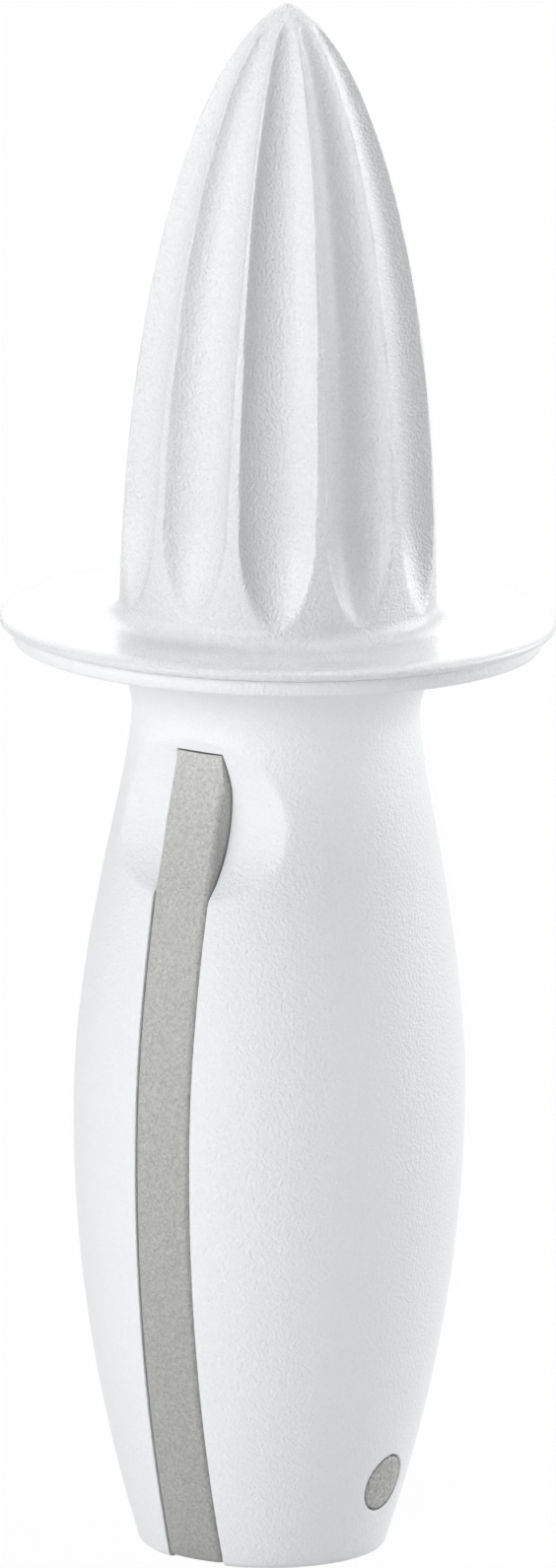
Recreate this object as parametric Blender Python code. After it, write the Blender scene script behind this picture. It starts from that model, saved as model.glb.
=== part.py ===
"""Hand citrus reamer with a grater arm that folds into its handle.

Frame: metres, +Z up, origin at the middle of the base. The slot of the arm faces -Y and the
pivot runs along X. Every size is set in millimetres below and turned into metres by MM.
"""

import math

import bmesh
import bpy
from mathutils import Matrix, Vector
from mathutils.geometry import tessellate_polygon

MM = 0.001

# Clearances
SEAT_GAP = 0.25 * MM          # between pieces that seat on or in each other
SIDE_GAP = 0.25 * MM          # between the arm and each wall of its slot
BACK_GAP = 0.6 * MM           # between the arm's inner edge and the floor of the slot
GROUND_GAP = 0.3 * MM         # between the folded arm's heel and the surface the base stands on

# Handle, as a turned barrel
HANDLE_HEIGHT = 110.3 * MM
BASE_RADIUS = 14.43 * MM
BASE_FLARE = 0.32             # growth of the radius with height at the base
BASE_EDGE = 1.0 * MM
BELLY_RADIUS = 23.05 * MM
BELLY_HEIGHT = 53.75 * MM
SHOULDER_RADIUS = 19.27 * MM
SHOULDER_DROP = 15.1 * MM     # from the neck down to the shoulder
SHOULDER_SLOPE = -0.192
NECK_RADIUS = 16.88 * MM
NECK_SLOPE = -0.05
NECK_FILLET = 8.0 * MM
COLLAR_RADIUS = 31.0 * MM
COLLAR_THICKNESS = 1.9 * MM
COLLAR_EDGE = 0.5 * MM

# Socket in the handle's top and the spigot of the reamer that it holds
SOCKET_RADIUS = 14.3 * MM
SOCKET_DEPTH = 7.1 * MM
SPIGOT_WALL = 2.75 * MM
SNAP_BEAD = 0.5 * MM
SNAP_HEIGHT = 1.7 * MM        # of the bead's ridge above the socket's floor
SEAL_THICKNESS = 1.5 * MM
SEAL_DROP = 2.6 * MM          # from the handle's top to the middle of the seal

# Reamer: juice flange and fluted cone
DISC_RADIUS = 32.65 * MM
DISC_THICKNESS = 1.35 * MM
DISC_DISH = 0.3 * MM
DISC_RIM = 1.4 * MM
DISC_EDGE = 0.5 * MM
CONE_HEIGHT = 72.65 * MM
CONE_RADIUS = 18.6 * MM
CONE_FULLNESS = 2.167         # exponents of the cone's outline
CONE_TAPER = 0.598
CONE_FILLET = 1.8 * MM
TIP_PINCH = 0.33              # how much narrower the very tip is than that outline
TIP_REACH = 1.9 * MM          # how fast that fades below the tip
TIP_DOME = 1.0 * MM           # plain dome at the tip, above the flutes
FLUTE_COUNT = 11
FLUTE_SLOPE = math.radians(50)  # of a flute's round section at its edges
FLUTE_FOOT = 2.1 * MM         # from the disc's rim up to the lowest point of a flute
FLUTE_ARCH = 11.5 * MM        # height of the arch that closes a flute at its foot
FLUTE_FADE = 2.5 * MM         # height in which a flute runs out below the dome
RIDGE_WIDTH = 0.28 * MM
LAND_WIDTH = 1.82 * MM        # between two flutes, if they went down to the disc
LAND_REACH = 59.0 * MM        # height where that land would have narrowed to nothing
REAMER_WALL = 1.6 * MM

# Slot, finger scoop and core pockets of the handle
ROOF_THICKNESS = 5.1 * MM     # from the slot's top to the socket's floor
SCOOP_RADIUS = 13.0 * MM
SCOOP_DEPTH = 2.85 * MM
SCOOP_DROP = 6.9 * MM         # from the slot's top to the scoop's middle
POCKET_RADIUS = 12.0 * MM
POCKET_WALL = 2.0 * MM        # between the slot and each pocket
POCKET_FLOOR = 16.5 * MM

# Grater arm
ARM_THICKNESS = 7.4 * MM
ARM_BACK = 5.0 * MM           # from the pivot's axis to the arm's inner edge
ARM_TIP_CORNER = 4.0 * MM
NOSE_DROP = 5.25 * MM         # from the arm's tip down to where its outer edge turns inwards
NOSE_DEPTH = 0.95 * MM        # of the outer edge under the handle's surface, at the arm's tip
NOSE_RUN = 1.0 * MM           # how far its line is drawn on outside the handle's surface
PIVOT_HEIGHT = 9.5 * MM
HEEL_WINDOW = 4.0 * MM        # height of the slot's back opening above the pivot
WINDOW_START = 17.5 * MM      # from the pivot to the window's lower end
WINDOW_MARGIN = 19.85 * MM    # from the window's upper end to the arm's tip
WINDOW_CORNER = 3.0 * MM
FRONT_RIM = 4.4 * MM
BACK_RIM = 3.6 * MM
REBATE_DEPTH = 1.9 * MM

# Grater plate and its teeth
PLATE_THICKNESS = 0.5 * MM
PLATE_LEDGE = 2.0 * MM        # how far the plate lies over the rim along its sides
PLATE_END = 5.5 * MM          # and at its ends
TOOTH_PITCH = 4.3 * MM
TOOTH_ROW = 4.0 * MM
TOOTH_SKIRT = 1.75 * MM
TOOTH_HOLE = 1.0 * MM
TOOTH_LIP = 0.18 * MM
TOOTH_HEIGHT = 0.75 * MM
RIVET_INSET = 3.6 * MM        # of a rivet from the plate's sides
RIVET_SHANK = 1.0 * MM
RIVET_HEAD = 1.8 * MM
RIVET_HEAD_HEIGHT = 0.6 * MM

# Pivot
SLEEVE_RADIUS = 3.25 * MM
STEM_RADIUS = 2.1 * MM
STEM_REACH = 11.7 * MM        # of the stem beyond the pivot's middle
STEM_BEAD = 0.25 * MM
WASHER_RADIUS = 6.0 * MM
WASHER_THICKNESS = 0.5 * MM

# Facets
BARREL_SIDES = 48
CAVITY_SIDES = 32
PIN_SIDES = 24
SMALL_SIDES = 10
SEAL_SIDES = 32
TOOTH_SIDES = 6
FLUTE_STEPS = 7               # points across one flute, its two edges included
SHARP_ANGLE = math.radians(32)

# Places that follow from the sizes
NECK_HEIGHT = HANDLE_HEIGHT - COLLAR_THICKNESS - NECK_FILLET
SHOULDER_HEIGHT = NECK_HEIGHT - SHOULDER_DROP
SOCKET_FLOOR = HANDLE_HEIGHT - SOCKET_DEPTH
SLOT_TOP = SOCKET_FLOOR - ROOF_THICKNESS
DISC_BOTTOM = HANDLE_HEIGHT + SEAT_GAP
DISC_TOP = DISC_BOTTOM + DISC_THICKNESS
SPIGOT_RADIUS = SOCKET_RADIUS - SEAT_GAP
SPIGOT_BORE = SPIGOT_RADIUS - SPIGOT_WALL
SEAL_HEIGHT = HANDLE_HEIGHT - SEAL_DROP
SEAL_SECTION = SEAL_THICKNESS / 2
SLOT_HALF = ARM_THICKNESS / 2 + SIDE_GAP
ARM_TIP = SLOT_TOP - SEAT_GAP
WINDOW_LOW = PIVOT_HEIGHT + WINDOW_START
WINDOW_HIGH = ARM_TIP - WINDOW_MARGIN
REBATE_FLOOR = ARM_THICKNESS / 2 - REBATE_DEPTH
PLATE_BACK = REBATE_FLOOR + SEAT_GAP
PLATE_FACE = PLATE_BACK + PLATE_THICKNESS
BEYOND = 2 * DISC_RADIUS      # reach of a cutter that goes right out of the part

WHITE = (0.88, 0.88, 0.885)
GREY = (0.44, 0.44, 0.435)
STEEL = (0.62, 0.62, 0.63)
DARK = (0.05, 0.05, 0.05)


def plastic(name, colour, roughness, metallic=0.0):
    """Make a material from its colour, roughness and metallic value."""
    material = bpy.data.materials.new(name)
    material.use_nodes = True
    shader = material.node_tree.nodes["Principled BSDF"]
    shader.inputs["Base Color"].default_value = (*colour, 1.0)
    shader.inputs["Roughness"].default_value = roughness
    shader.inputs["Metallic"].default_value = metallic
    material.diffuse_color = (*colour, 1.0)
    return material


def spread(low, high, count):
    """Give count + 1 even steps from low to high."""
    return [low + (high - low) * i / count for i in range(count + 1)]


def arc(centre, radius, start, end, steps):
    """Give points of an arc, its angles in degrees, both ends included."""
    angles = (math.radians(a) for a in spread(start, end, steps))
    return [(centre[0] + radius * math.cos(a), centre[1] + radius * math.sin(a)) for a in angles]


def close_mesh(name, bm, material):
    """Turn a closed bmesh into an object with its faces pointing out."""
    bmesh.ops.recalc_face_normals(bm, faces=bm.faces)
    mesh = bpy.data.meshes.new(name)
    bm.to_mesh(mesh)
    bm.free()
    mesh.shade_smooth()
    mesh.set_sharp_from_angle(angle=SHARP_ANGLE)
    if material:
        mesh.materials.append(material)
    piece = bpy.data.objects.new(name, mesh)
    bpy.context.scene.collection.objects.link(piece)
    if not material:
        piece.hide_render = True
        piece.display_type = "WIRE"
    return piece


def skin(name, rings, material=None, looped=False):
    """Join rings of points into a closed skin; a ring of one point is a pole."""
    bm = bmesh.new()
    rows = [[bm.verts.new(point) for point in ring] for ring in rings]
    pairs = list(zip(rows, rows[1:]))
    if looped:
        pairs.append((rows[-1], rows[0]))
    for low, high in pairs:
        count = max(len(low), len(high))
        for i in range(count):
            j = (i + 1) % count
            corners = [low[i % len(low)], low[j % len(low)], high[j % len(high)], high[i % len(high)]]
            bm.faces.new(dict.fromkeys(corners))
    if not looped:
        for row in (rows[0], rows[-1]):
            if len(row) > 2:
                bm.faces.new(row)
    return close_mesh(name, bm, material)


def turned(name, profile, sides, material=None, looped=False):
    """Turn a profile of (radius, height) points about Z."""
    turns = [math.tau * i / sides for i in range(sides)]
    rings = [[Vector((r * math.sin(t), -r * math.cos(t), z)) for t in (turns if r else turns[:1])]
             for r, z in profile]
    return skin(name, rings, material, looped)


def prism(name, outline, low, high, axis, material=None):
    """Extrude a closed outline along X, from points of (y, z), or along Z, from points of (x, y)."""
    def place(point, depth):
        return Vector((depth, *point)) if axis == "X" else Vector((*point, depth))
    rings = [[place(point, depth) for point in outline] for depth in (low, high)]
    return skin(name, rings, material)


def shape_with(piece, tool, operation="DIFFERENCE"):
    """Cut a piece by a tool, or keep only what lies inside the tool."""
    modifier = piece.modifiers.new(tool.name, "BOOLEAN")
    modifier.operation = operation
    modifier.object = tool
    modifier.solver = "EXACT"


def along_x(piece, height, depth=0.0, facing=1):
    """Lay a piece that was turned about Z along X, pointing to +X or -X."""
    piece.location = (0.0, depth, height)
    piece.rotation_euler = (0.0, facing * math.pi / 2, 0.0)


def hermite(height, low, high):
    """Give the radius at a height between two stations of (height, radius, slope)."""
    span = high[0] - low[0]
    t = (height - low[0]) / span
    rise = (2 * t ** 3 - 3 * t ** 2 + 1) * low[1] + (3 * t ** 2 - 2 * t ** 3) * high[1]
    return rise + span * ((t ** 3 - 2 * t ** 2 + t) * low[2] + (t ** 3 - t ** 2) * high[2])


def handle_radius(height):
    """Give the handle's outer radius between its base and its neck."""
    stations = [(0.0, BASE_RADIUS, BASE_FLARE), (BELLY_HEIGHT, BELLY_RADIUS, 0.0),
                (SHOULDER_HEIGHT, SHOULDER_RADIUS, SHOULDER_SLOPE), (NECK_HEIGHT, NECK_RADIUS, NECK_SLOPE)]
    for low, high in zip(stations, stations[1:]):
        if height <= high[0]:
            return hermite(height, low, high)
    return NECK_RADIUS


def handle_profile():
    """Give the handle's turned outline, from the middle of the base to the middle of its top."""
    base_centre = (handle_radius(BASE_EDGE) - BASE_EDGE, BASE_EDGE)
    sides = spread(BASE_EDGE, BELLY_HEIGHT, 8)[1:] + spread(BELLY_HEIGHT, SHOULDER_HEIGHT, 5)[1:]
    sides += spread(SHOULDER_HEIGHT, NECK_HEIGHT, 3)[1:-1]
    underside = HANDLE_HEIGHT - COLLAR_THICKNESS
    fillet_centre = (NECK_RADIUS + NECK_FILLET, NECK_HEIGHT)
    lower_edge = (COLLAR_RADIUS - COLLAR_EDGE, underside + COLLAR_EDGE)
    return [(0.0, 0.0), *arc(base_centre, BASE_EDGE, -90, 0, 3),
            *[(handle_radius(z), z) for z in sides],
            *arc(fillet_centre, NECK_FILLET, 180, 90, 5),
            *arc(lower_edge, COLLAR_EDGE, -90, 0, 2),
            (COLLAR_RADIUS, HANDLE_HEIGHT), (0.0, HANDLE_HEIGHT)]


def heel_reach():
    """Give the radius round the pivot that the arm's heel sweeps, with its clearance."""
    heights = spread(GROUND_GAP, PIVOT_HEIGHT, 8)
    return max(math.hypot(handle_radius(z), PIVOT_HEIGHT - z) for z in heights) + SIDE_GAP


def slot_outline():
    """Give the slot's side view: open to the front and below, with room behind for the heel."""
    reach = heel_reach()
    stop = 2 * PIVOT_HEIGHT - GROUND_GAP + SEAT_GAP
    opening = PIVOT_HEIGHT + HEEL_WINDOW
    start, end = (math.degrees(math.asin((z - PIVOT_HEIGHT) / reach)) for z in (stop, opening))
    back = ARM_BACK + BACK_GAP
    return [(-BEYOND, -BEYOND), (-BEYOND, SLOT_TOP), (back, SLOT_TOP), (back, stop),
            *arc((0.0, PIVOT_HEIGHT), reach, start, end, 3), (BEYOND, opening), (BEYOND, -BEYOND)]


def pocket_outline(side):
    """Give the D-shaped section of a core pocket on one side of the slot."""
    wall = SLOT_HALF + POCKET_WALL
    half_angle = math.degrees(math.acos(wall / POCKET_RADIUS))
    return [(side * x, side * y) for x, y in arc((0.0, 0.0), POCKET_RADIUS, -half_angle, half_angle, 8)]


def socket_profile():
    """Give the socket's outline, with the groove that the reamer's bead snaps into."""
    ridge = SOCKET_FLOOR + SNAP_HEIGHT
    groove = SOCKET_RADIUS + SNAP_BEAD
    above = HANDLE_HEIGHT + COLLAR_THICKNESS
    return [(0.0, SOCKET_FLOOR), (SOCKET_RADIUS, SOCKET_FLOOR), (SOCKET_RADIUS, ridge - 2 * SNAP_BEAD),
            (groove, ridge), (SOCKET_RADIUS, ridge + 2 * SNAP_BEAD), (SOCKET_RADIUS, above), (0.0, above)]


def build_handle(material):
    """Model the handle with its slot, scoop, socket, core pockets and pivot hole."""
    handle = turned("handle_body", handle_profile(), BARREL_SIDES, material)
    shape_with(handle, prism("slot_cutter", slot_outline(), -SLOT_HALF, SLOT_HALF, "X"))

    scoop_height = SLOT_TOP - SCOOP_DROP
    scoop_depth = handle_radius(scoop_height) - SCOOP_DEPTH + SCOOP_RADIUS
    scoop = turned("scoop_cutter", [(0.0, -BEYOND), (SCOOP_RADIUS, -BEYOND), (SCOOP_RADIUS, BEYOND),
                                    (0.0, BEYOND)], 2 * BARREL_SIDES)
    along_x(scoop, scoop_height, -scoop_depth)
    shape_with(handle, scoop)

    shape_with(handle, turned("socket_cutter", socket_profile(), CAVITY_SIDES))
    for label, side in (("right", 1), ("left", -1)):
        pocket = prism(f"pocket_cutter_{label}", pocket_outline(side), POCKET_FLOOR,
                       SOCKET_FLOOR + SNAP_BEAD, "Z")
        shape_with(handle, pocket)

    hole = SLEEVE_RADIUS + SEAT_GAP
    bore = turned("pivot_hole_cutter", [(0.0, -BEYOND), (hole, -BEYOND), (hole, BEYOND), (0.0, BEYOND)],
                  PIN_SIDES)
    along_x(bore, PIVOT_HEIGHT)
    shape_with(handle, bore)
    return handle


def cone_radius(height):
    """Give the radius of the cone's ridges at a height above the disc's rim."""
    share = min(max(height / CONE_HEIGHT, 0.0), 1.0)
    pinch = 1 - TIP_PINCH * math.exp((height - CONE_HEIGHT) / TIP_REACH)
    return CONE_RADIUS * (1 - share ** CONE_FULLNESS) ** CONE_TAPER * pinch


def flute_arch(height):
    """Give the share of its full width that a flute has at a height, which is less at its foot."""
    fall = min(max(1 - (height - FLUTE_FOOT) / FLUTE_ARCH, 0.0), 1.0)
    return math.sqrt(1 - fall ** 2)


def flute_fade(height):
    """Give the share of its full depth that a flute has at a height, which is less near the tip."""
    share = min(max((CONE_HEIGHT - TIP_DOME - height) / FLUTE_FADE, 0.0), 1.0)
    return share ** 2 * (3 - 2 * share)


def flute_half_angle(height):
    """Give half the angle that a flute takes up at a height above the disc's rim."""
    radius = cone_radius(height)
    if radius <= RIDGE_WIDTH:
        return 0.0
    land = max(LAND_WIDTH * (1 - height / LAND_REACH), RIDGE_WIDTH)
    widest = max(math.pi / FLUTE_COUNT - land / (2 * radius), 0.0)
    return widest * flute_arch(height) * math.sqrt(flute_fade(height))


def flute_radius(angle, height):
    """Give the cone's radius at an angle from a flute's middle: the ridge, or the round flute."""
    ridge = cone_radius(height)
    half = flute_half_angle(height)
    if abs(angle) >= half:
        return ridge
    slope = FLUTE_SLOPE * math.sqrt(flute_arch(height)) * flute_fade(height)
    cutter = ridge * math.sin(half) / math.sin(slope)
    centre = ridge * math.cos(half) + cutter * math.cos(slope)
    return centre * math.cos(angle) - math.sqrt(cutter ** 2 - (centre * math.sin(angle)) ** 2)


def cone_ring(height, radius=None):
    """Give one ring of points round the reamer, round if a radius is given and fluted if not."""
    pitch = math.tau / FLUTE_COUNT
    half = max(flute_half_angle(height), pitch / 8)
    if radius is not None and radius > cone_radius(FLUTE_FOOT):
        half = pitch * (FLUTE_STEPS - 1) / (2 * (FLUTE_STEPS + 1))
    ring = []
    for flute in range(FLUTE_COUNT):
        for angle in [*spread(-half, half, FLUTE_STEPS - 1), pitch / 2]:
            reach = flute_radius(angle, height) if radius is None else radius
            turn = flute * pitch + angle
            ring.append(Vector((reach * math.sin(turn), -reach * math.cos(turn), DISC_TOP + height)))
    return ring


def spigot_profile():
    """Give the spigot's outline from its end up into the disc, with the snap bead and seal groove."""
    ridge = SOCKET_FLOOR + SNAP_HEIGHT
    groove = SPIGOT_RADIUS - SEAL_THICKNESS - SEAT_GAP
    half_groove = SEAL_SECTION + SEAT_GAP
    end, root = SOCKET_FLOOR + SEAT_GAP, DISC_BOTTOM + DISC_THICKNESS / 2
    return [(0.0, end), (SPIGOT_RADIUS, end), (SPIGOT_RADIUS, ridge - 2 * SNAP_BEAD),
            (SPIGOT_RADIUS + SNAP_BEAD, ridge), (SPIGOT_RADIUS, ridge + 2 * SNAP_BEAD),
            (SPIGOT_RADIUS, SEAL_HEIGHT - half_groove), (groove, SEAL_HEIGHT - half_groove),
            (groove, SEAL_HEIGHT + half_groove), (SPIGOT_RADIUS, SEAL_HEIGHT + half_groove),
            (SPIGOT_RADIUS, root), (0.0, root)]


def disc_profile():
    """Give the juice flange's outline: round edge, low rim, shallow dish and the cone's fillet."""
    lower = (DISC_RADIUS - DISC_EDGE, DISC_BOTTOM + DISC_EDGE)
    upper = (DISC_RADIUS - DISC_EDGE, DISC_TOP - DISC_EDGE)
    dish = DISC_TOP - DISC_DISH
    fillet = (cone_radius(0.0) + CONE_FILLET, dish + CONE_FILLET)
    return [*arc(lower, DISC_EDGE, -90, 0, 2), *arc(upper, DISC_EDGE, 0, 90, 2),
            (DISC_RADIUS - DISC_RIM, dish), *arc(fillet, CONE_FILLET, -90, -180, 3)[:-1]]


def cavity_profile():
    """Give the reamer's hollow, which opens through the spigot and narrows to the tip."""
    below = SOCKET_FLOOR
    profile = [(0.0, below), (SPIGOT_BORE, below)]
    heights = [CONE_HEIGHT * math.sin(a) for a in spread(0.0, math.pi / 2, 12)]
    for height in heights:
        room = flute_radius(0.0, height) - REAMER_WALL
        if room < SPIGOT_BORE:
            if room <= REAMER_WALL:
                break
            profile.append((room, DISC_TOP + height - REAMER_WALL))
    return [*profile, (0.0, profile[-1][1] + REAMER_WALL / 2)]


def build_reamer(material):
    """Model the reamer: fluted cone, juice flange and hollow spigot in one moulding."""
    rings = [cone_ring(z - DISC_TOP, r) for r, z in disc_profile()]
    foot_heights = [FLUTE_FOOT + FLUTE_ARCH * share for share in (0.0, 0.06, 0.18, 0.36, 0.6, 1.0)]
    top = CONE_HEIGHT - foot_heights[-1]
    heights = [foot_heights[-1] + top * math.sin(a) for a in spread(0.0, math.pi / 2, 13)]
    rings += [cone_ring(height) for height in [*foot_heights, *heights[1:-1]]]
    rings.append([Vector((0.0, 0.0, DISC_TOP + CONE_HEIGHT))])
    reamer = skin("reamer_head", rings, material)
    shape_with(reamer, turned("spigot_core", spigot_profile(), CAVITY_SIDES), "UNION")
    shape_with(reamer, turned("reamer_cavity_cutter", cavity_profile(), CAVITY_SIDES))
    return reamer


def build_seal(material):
    """Model the seal ring in its groove on the spigot."""
    middle = SPIGOT_RADIUS - SEAL_SECTION
    section = arc((middle, SEAL_HEIGHT), SEAL_SECTION, 0, 360, 6)[:-1]
    return turned("seal_ring", section, SEAL_SIDES, material, looped=True)


def arm_outline():
    """Give the arm's side view, with its slanted nose, cut later to the handle's round at the front."""
    corner = (ARM_BACK - ARM_TIP_CORNER, ARM_TIP - ARM_TIP_CORNER)
    start = -handle_radius(ARM_TIP - NOSE_DROP)
    end = NOSE_DEPTH - handle_radius(ARM_TIP)
    turn = ARM_TIP - NOSE_DROP - NOSE_RUN * NOSE_DROP / (end - start)
    return [(-BEYOND, GROUND_GAP), (-BEYOND, turn), (start - NOSE_RUN, turn), (end, ARM_TIP),
            *arc(corner, ARM_TIP_CORNER, 90, 0, 4), (ARM_BACK, GROUND_GAP)]


def bay_outline(side, end, corner):
    """Give the window's outline, grown by side along its length and by end at both ends."""
    low, high = WINDOW_LOW - end, WINDOW_HIGH + end
    turns = [math.radians(a) for a in spread(90, 0, 3)]
    stations = [(low + corner * (1 - math.sin(a)), corner * (1 - math.cos(a))) for a in turns]
    stations += [(z, 0.0) for z in spread(low + corner, high - corner, 7)[1:-1]]
    stations += [(high - corner * (1 - math.sin(a)), corner * (1 - math.cos(a))) for a in reversed(turns)]
    front = [(FRONT_RIM - handle_radius(z) - side + pull, z) for z, pull in stations]
    back = [(ARM_BACK - BACK_RIM + side - pull, z) for z, pull in reversed(stations)]
    return front + back


def rivet_places():
    """Give the (y, z) place of each rivet, two at each end of the plate."""
    places = []
    for height in (WINDOW_LOW - PLATE_END / 2, WINDOW_HIGH + PLATE_END / 2):
        front = FRONT_RIM - handle_radius(height) - PLATE_LEDGE + RIVET_INSET
        places += [(front, height), (ARM_BACK - BACK_RIM + PLATE_LEDGE - RIVET_INSET, height)]
    return places


def build_arm(material):
    """Model the grey arm with its window, the plate's rebate, rivet holes and hub."""
    half = ARM_THICKNESS / 2
    arm = prism("grater_frame", arm_outline(), -half, half, "X", material)
    shape_with(arm, turned("barrel_guide", handle_profile(), BARREL_SIDES), "INTERSECT")
    shape_with(arm, prism("window_cutter", bay_outline(0.0, 0.0, WINDOW_CORNER), -BEYOND, BEYOND, "X"))
    rebate = bay_outline(PLATE_LEDGE + SEAT_GAP, PLATE_END + SEAT_GAP, WINDOW_CORNER + SEAT_GAP)
    shape_with(arm, prism("rebate_cutter", rebate, REBATE_FLOOR, BEYOND, "X"))

    hole = SLEEVE_RADIUS + SEAT_GAP
    recess = WASHER_RADIUS + SEAT_GAP
    floor = half + SIDE_GAP - 2 * SEAT_GAP - WASHER_THICKNESS
    hub = turned("hub_cutter", [(0.0, -BEYOND), (recess, -BEYOND), (recess, -floor), (hole, -floor),
                                (hole, floor), (recess, floor), (recess, BEYOND), (0.0, BEYOND)], PIN_SIDES)
    along_x(hub, PIVOT_HEIGHT)
    shape_with(arm, hub)

    counterbore = RIVET_HEAD + SEAT_GAP
    depth = SEAT_GAP + RIVET_HEAD_HEIGHT + SEAT_GAP - half
    shank = RIVET_SHANK + SEAT_GAP
    profile = [(0.0, -BEYOND), (counterbore, -BEYOND), (counterbore, depth), (shank, depth),
               (shank, BEYOND), (0.0, BEYOND)]
    for number, (y, z) in enumerate(rivet_places(), start=1):
        cutter = turned(f"rivet_hole_cutter_{number}", profile, SMALL_SIDES)
        along_x(cutter, z, y)
        shape_with(arm, cutter)
    return arm


def tooth_places():
    """Give the (y, z) middle of each tooth, in staggered rows inside the window."""
    places = []
    margin = TOOTH_SKIRT + SEAT_GAP
    rows = int((WINDOW_HIGH - WINDOW_LOW - 2 * margin) / TOOTH_ROW)
    start = (WINDOW_LOW + WINDOW_HIGH - rows * TOOTH_ROW) / 2
    for row in range(rows + 1):
        height = start + row * TOOTH_ROW
        front = FRONT_RIM - handle_radius(height) + margin
        back = ARM_BACK - BACK_RIM - margin
        shift = TOOTH_PITCH / 2 if row % 2 else 0.0
        for step in range(int((back - shift - front) / TOOTH_PITCH) + 1):
            places.append((back - shift - step * TOOTH_PITCH, height))
    return places


def circle(place, radius, sides):
    """Give a circle of (y, z) points."""
    return arc(place, radius, 0, 360, sides)[:-1]


def build_plate(material):
    """Model the steel plate: a sheet with rows of round holes, each with a lip raised on one side."""
    bm = bmesh.new()

    def loop(points, depths):
        return [bm.verts.new((x, y, z)) for (y, z), x in zip(points, depths)]

    def bridge(first, second):
        for i in range(len(first)):
            bm.faces.new((first[i - 1], first[i], second[i], second[i - 1]))

    outline = bay_outline(PLATE_LEDGE, PLATE_END, WINDOW_CORNER)
    face_loops = [loop(outline, [PLATE_FACE] * len(outline))]
    back_loops = [loop(outline, [PLATE_BACK] * len(outline))]
    bridge(face_loops[0], back_loops[0])

    for place in rivet_places():
        points = circle(place, RIVET_SHANK + SEAT_GAP, SMALL_SIDES)
        face_loops.append(loop(points, [PLATE_FACE] * SMALL_SIDES))
        back_loops.append(loop(points, [PLATE_BACK] * SMALL_SIDES))
        bridge(face_loops[-1], back_loops[-1])

    rises = [TOOTH_HEIGHT * (0.5 - 0.5 * math.sin(math.tau * i / TOOTH_SIDES)) for i in range(TOOTH_SIDES)]
    for place in tooth_places():
        skirt = loop(circle(place, TOOTH_SKIRT, TOOTH_SIDES), [PLATE_FACE] * TOOTH_SIDES)
        crest = loop(circle(place, TOOTH_HOLE + TOOTH_LIP, TOOTH_SIDES), [PLATE_FACE + r for r in rises])
        inner = loop(circle(place, TOOTH_HOLE, TOOTH_SIDES), [PLATE_FACE + r - TOOTH_LIP for r in rises])
        under = loop(circle(place, TOOTH_SKIRT - TOOTH_LIP, TOOTH_SIDES), [PLATE_BACK] * TOOTH_SIDES)
        bridge(skirt, crest)
        bridge(crest, inner)
        bridge(inner, under)
        face_loops.append(skirt)
        back_loops.append(under)

    for loops in (face_loops, back_loops):
        corners = [vertex for one in loops for vertex in one]
        for triangle in tessellate_polygon([[vertex.co for vertex in one] for one in loops]):
            bm.faces.new([corners[i] for i in triangle])
    return close_mesh("grater_plate", bm, material)


def build_rivets(material):
    """Model the rivets that hold the plate, each with a head at both ends."""
    tail = -(ARM_THICKNESS / 2 - SEAT_GAP)
    seat = tail + RIVET_HEAD_HEIGHT
    head = PLATE_FACE + SEAT_GAP
    crown = RIVET_HEAD_HEIGHT / 2
    profile = [(0.0, tail), (RIVET_HEAD, tail), (RIVET_HEAD, seat), (RIVET_SHANK, seat),
               (RIVET_SHANK, head), (RIVET_HEAD, head), (RIVET_HEAD, head + crown),
               (RIVET_HEAD - crown, head + RIVET_HEAD_HEIGHT), (0.0, head + RIVET_HEAD_HEIGHT)]
    rivets = []
    for number, (y, z) in enumerate(rivet_places(), start=1):
        rivet = turned(f"plate_rivet_{number}", profile, SMALL_SIDES, material)
        along_x(rivet, z, y)
        rivets.append(rivet)
    return rivets


def build_pivot(material):
    """Model the pivot: a sleeve from the left and a pin from the right that snaps into it."""
    half = ARM_THICKNESS / 2
    barrel = bpy.data.objects["barrel_guide"]
    bore = STEM_RADIUS + SEAT_GAP
    bead = STEM_REACH - 2 * STEM_BEAD
    groove_reach = 2 * (STEM_BEAD + SEAT_GAP)
    sleeve_profile = [(0.0, BEYOND), (SLEEVE_RADIUS, BEYOND), (SLEEVE_RADIUS, -half), (bore, -half),
                      (bore, bead - groove_reach), (bore + STEM_BEAD, bead), (bore, bead + groove_reach),
                      (0.0, bead + groove_reach)]
    sleeve = turned("pivot_sleeve", sleeve_profile, PIN_SIDES, material)
    along_x(sleeve, PIVOT_HEIGHT, facing=-1)
    shape_with(sleeve, barrel, "INTERSECT")

    shoulder = half + SIDE_GAP
    pin_profile = [(0.0, -STEM_REACH), (STEM_RADIUS, -STEM_REACH), (STEM_RADIUS + STEM_BEAD, -bead),
                   (STEM_RADIUS, 2 * STEM_BEAD - bead), (STEM_RADIUS, shoulder), (SLEEVE_RADIUS, shoulder),
                   (SLEEVE_RADIUS, BEYOND), (0.0, BEYOND)]
    pin = turned("pivot_pin", pin_profile, PIN_SIDES, material)
    along_x(pin, PIVOT_HEIGHT)
    shape_with(pin, barrel, "INTERSECT")
    return sleeve, pin


def build_washers(material):
    """Model the two friction washers between the arm's hub and the slot's walls."""
    outer = SLOT_HALF - SEAT_GAP
    inner = outer - WASHER_THICKNESS
    hole = SLEEVE_RADIUS + SEAT_GAP
    profile = [(hole, inner), (WASHER_RADIUS, inner), (WASHER_RADIUS, outer), (hole, outer)]
    for label, facing in (("right", 1), ("left", -1)):
        washer = turned(f"friction_washer_{label}", profile, PIN_SIDES, material, looped=True)
        along_x(washer, PIVOT_HEIGHT, facing=facing)


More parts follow.
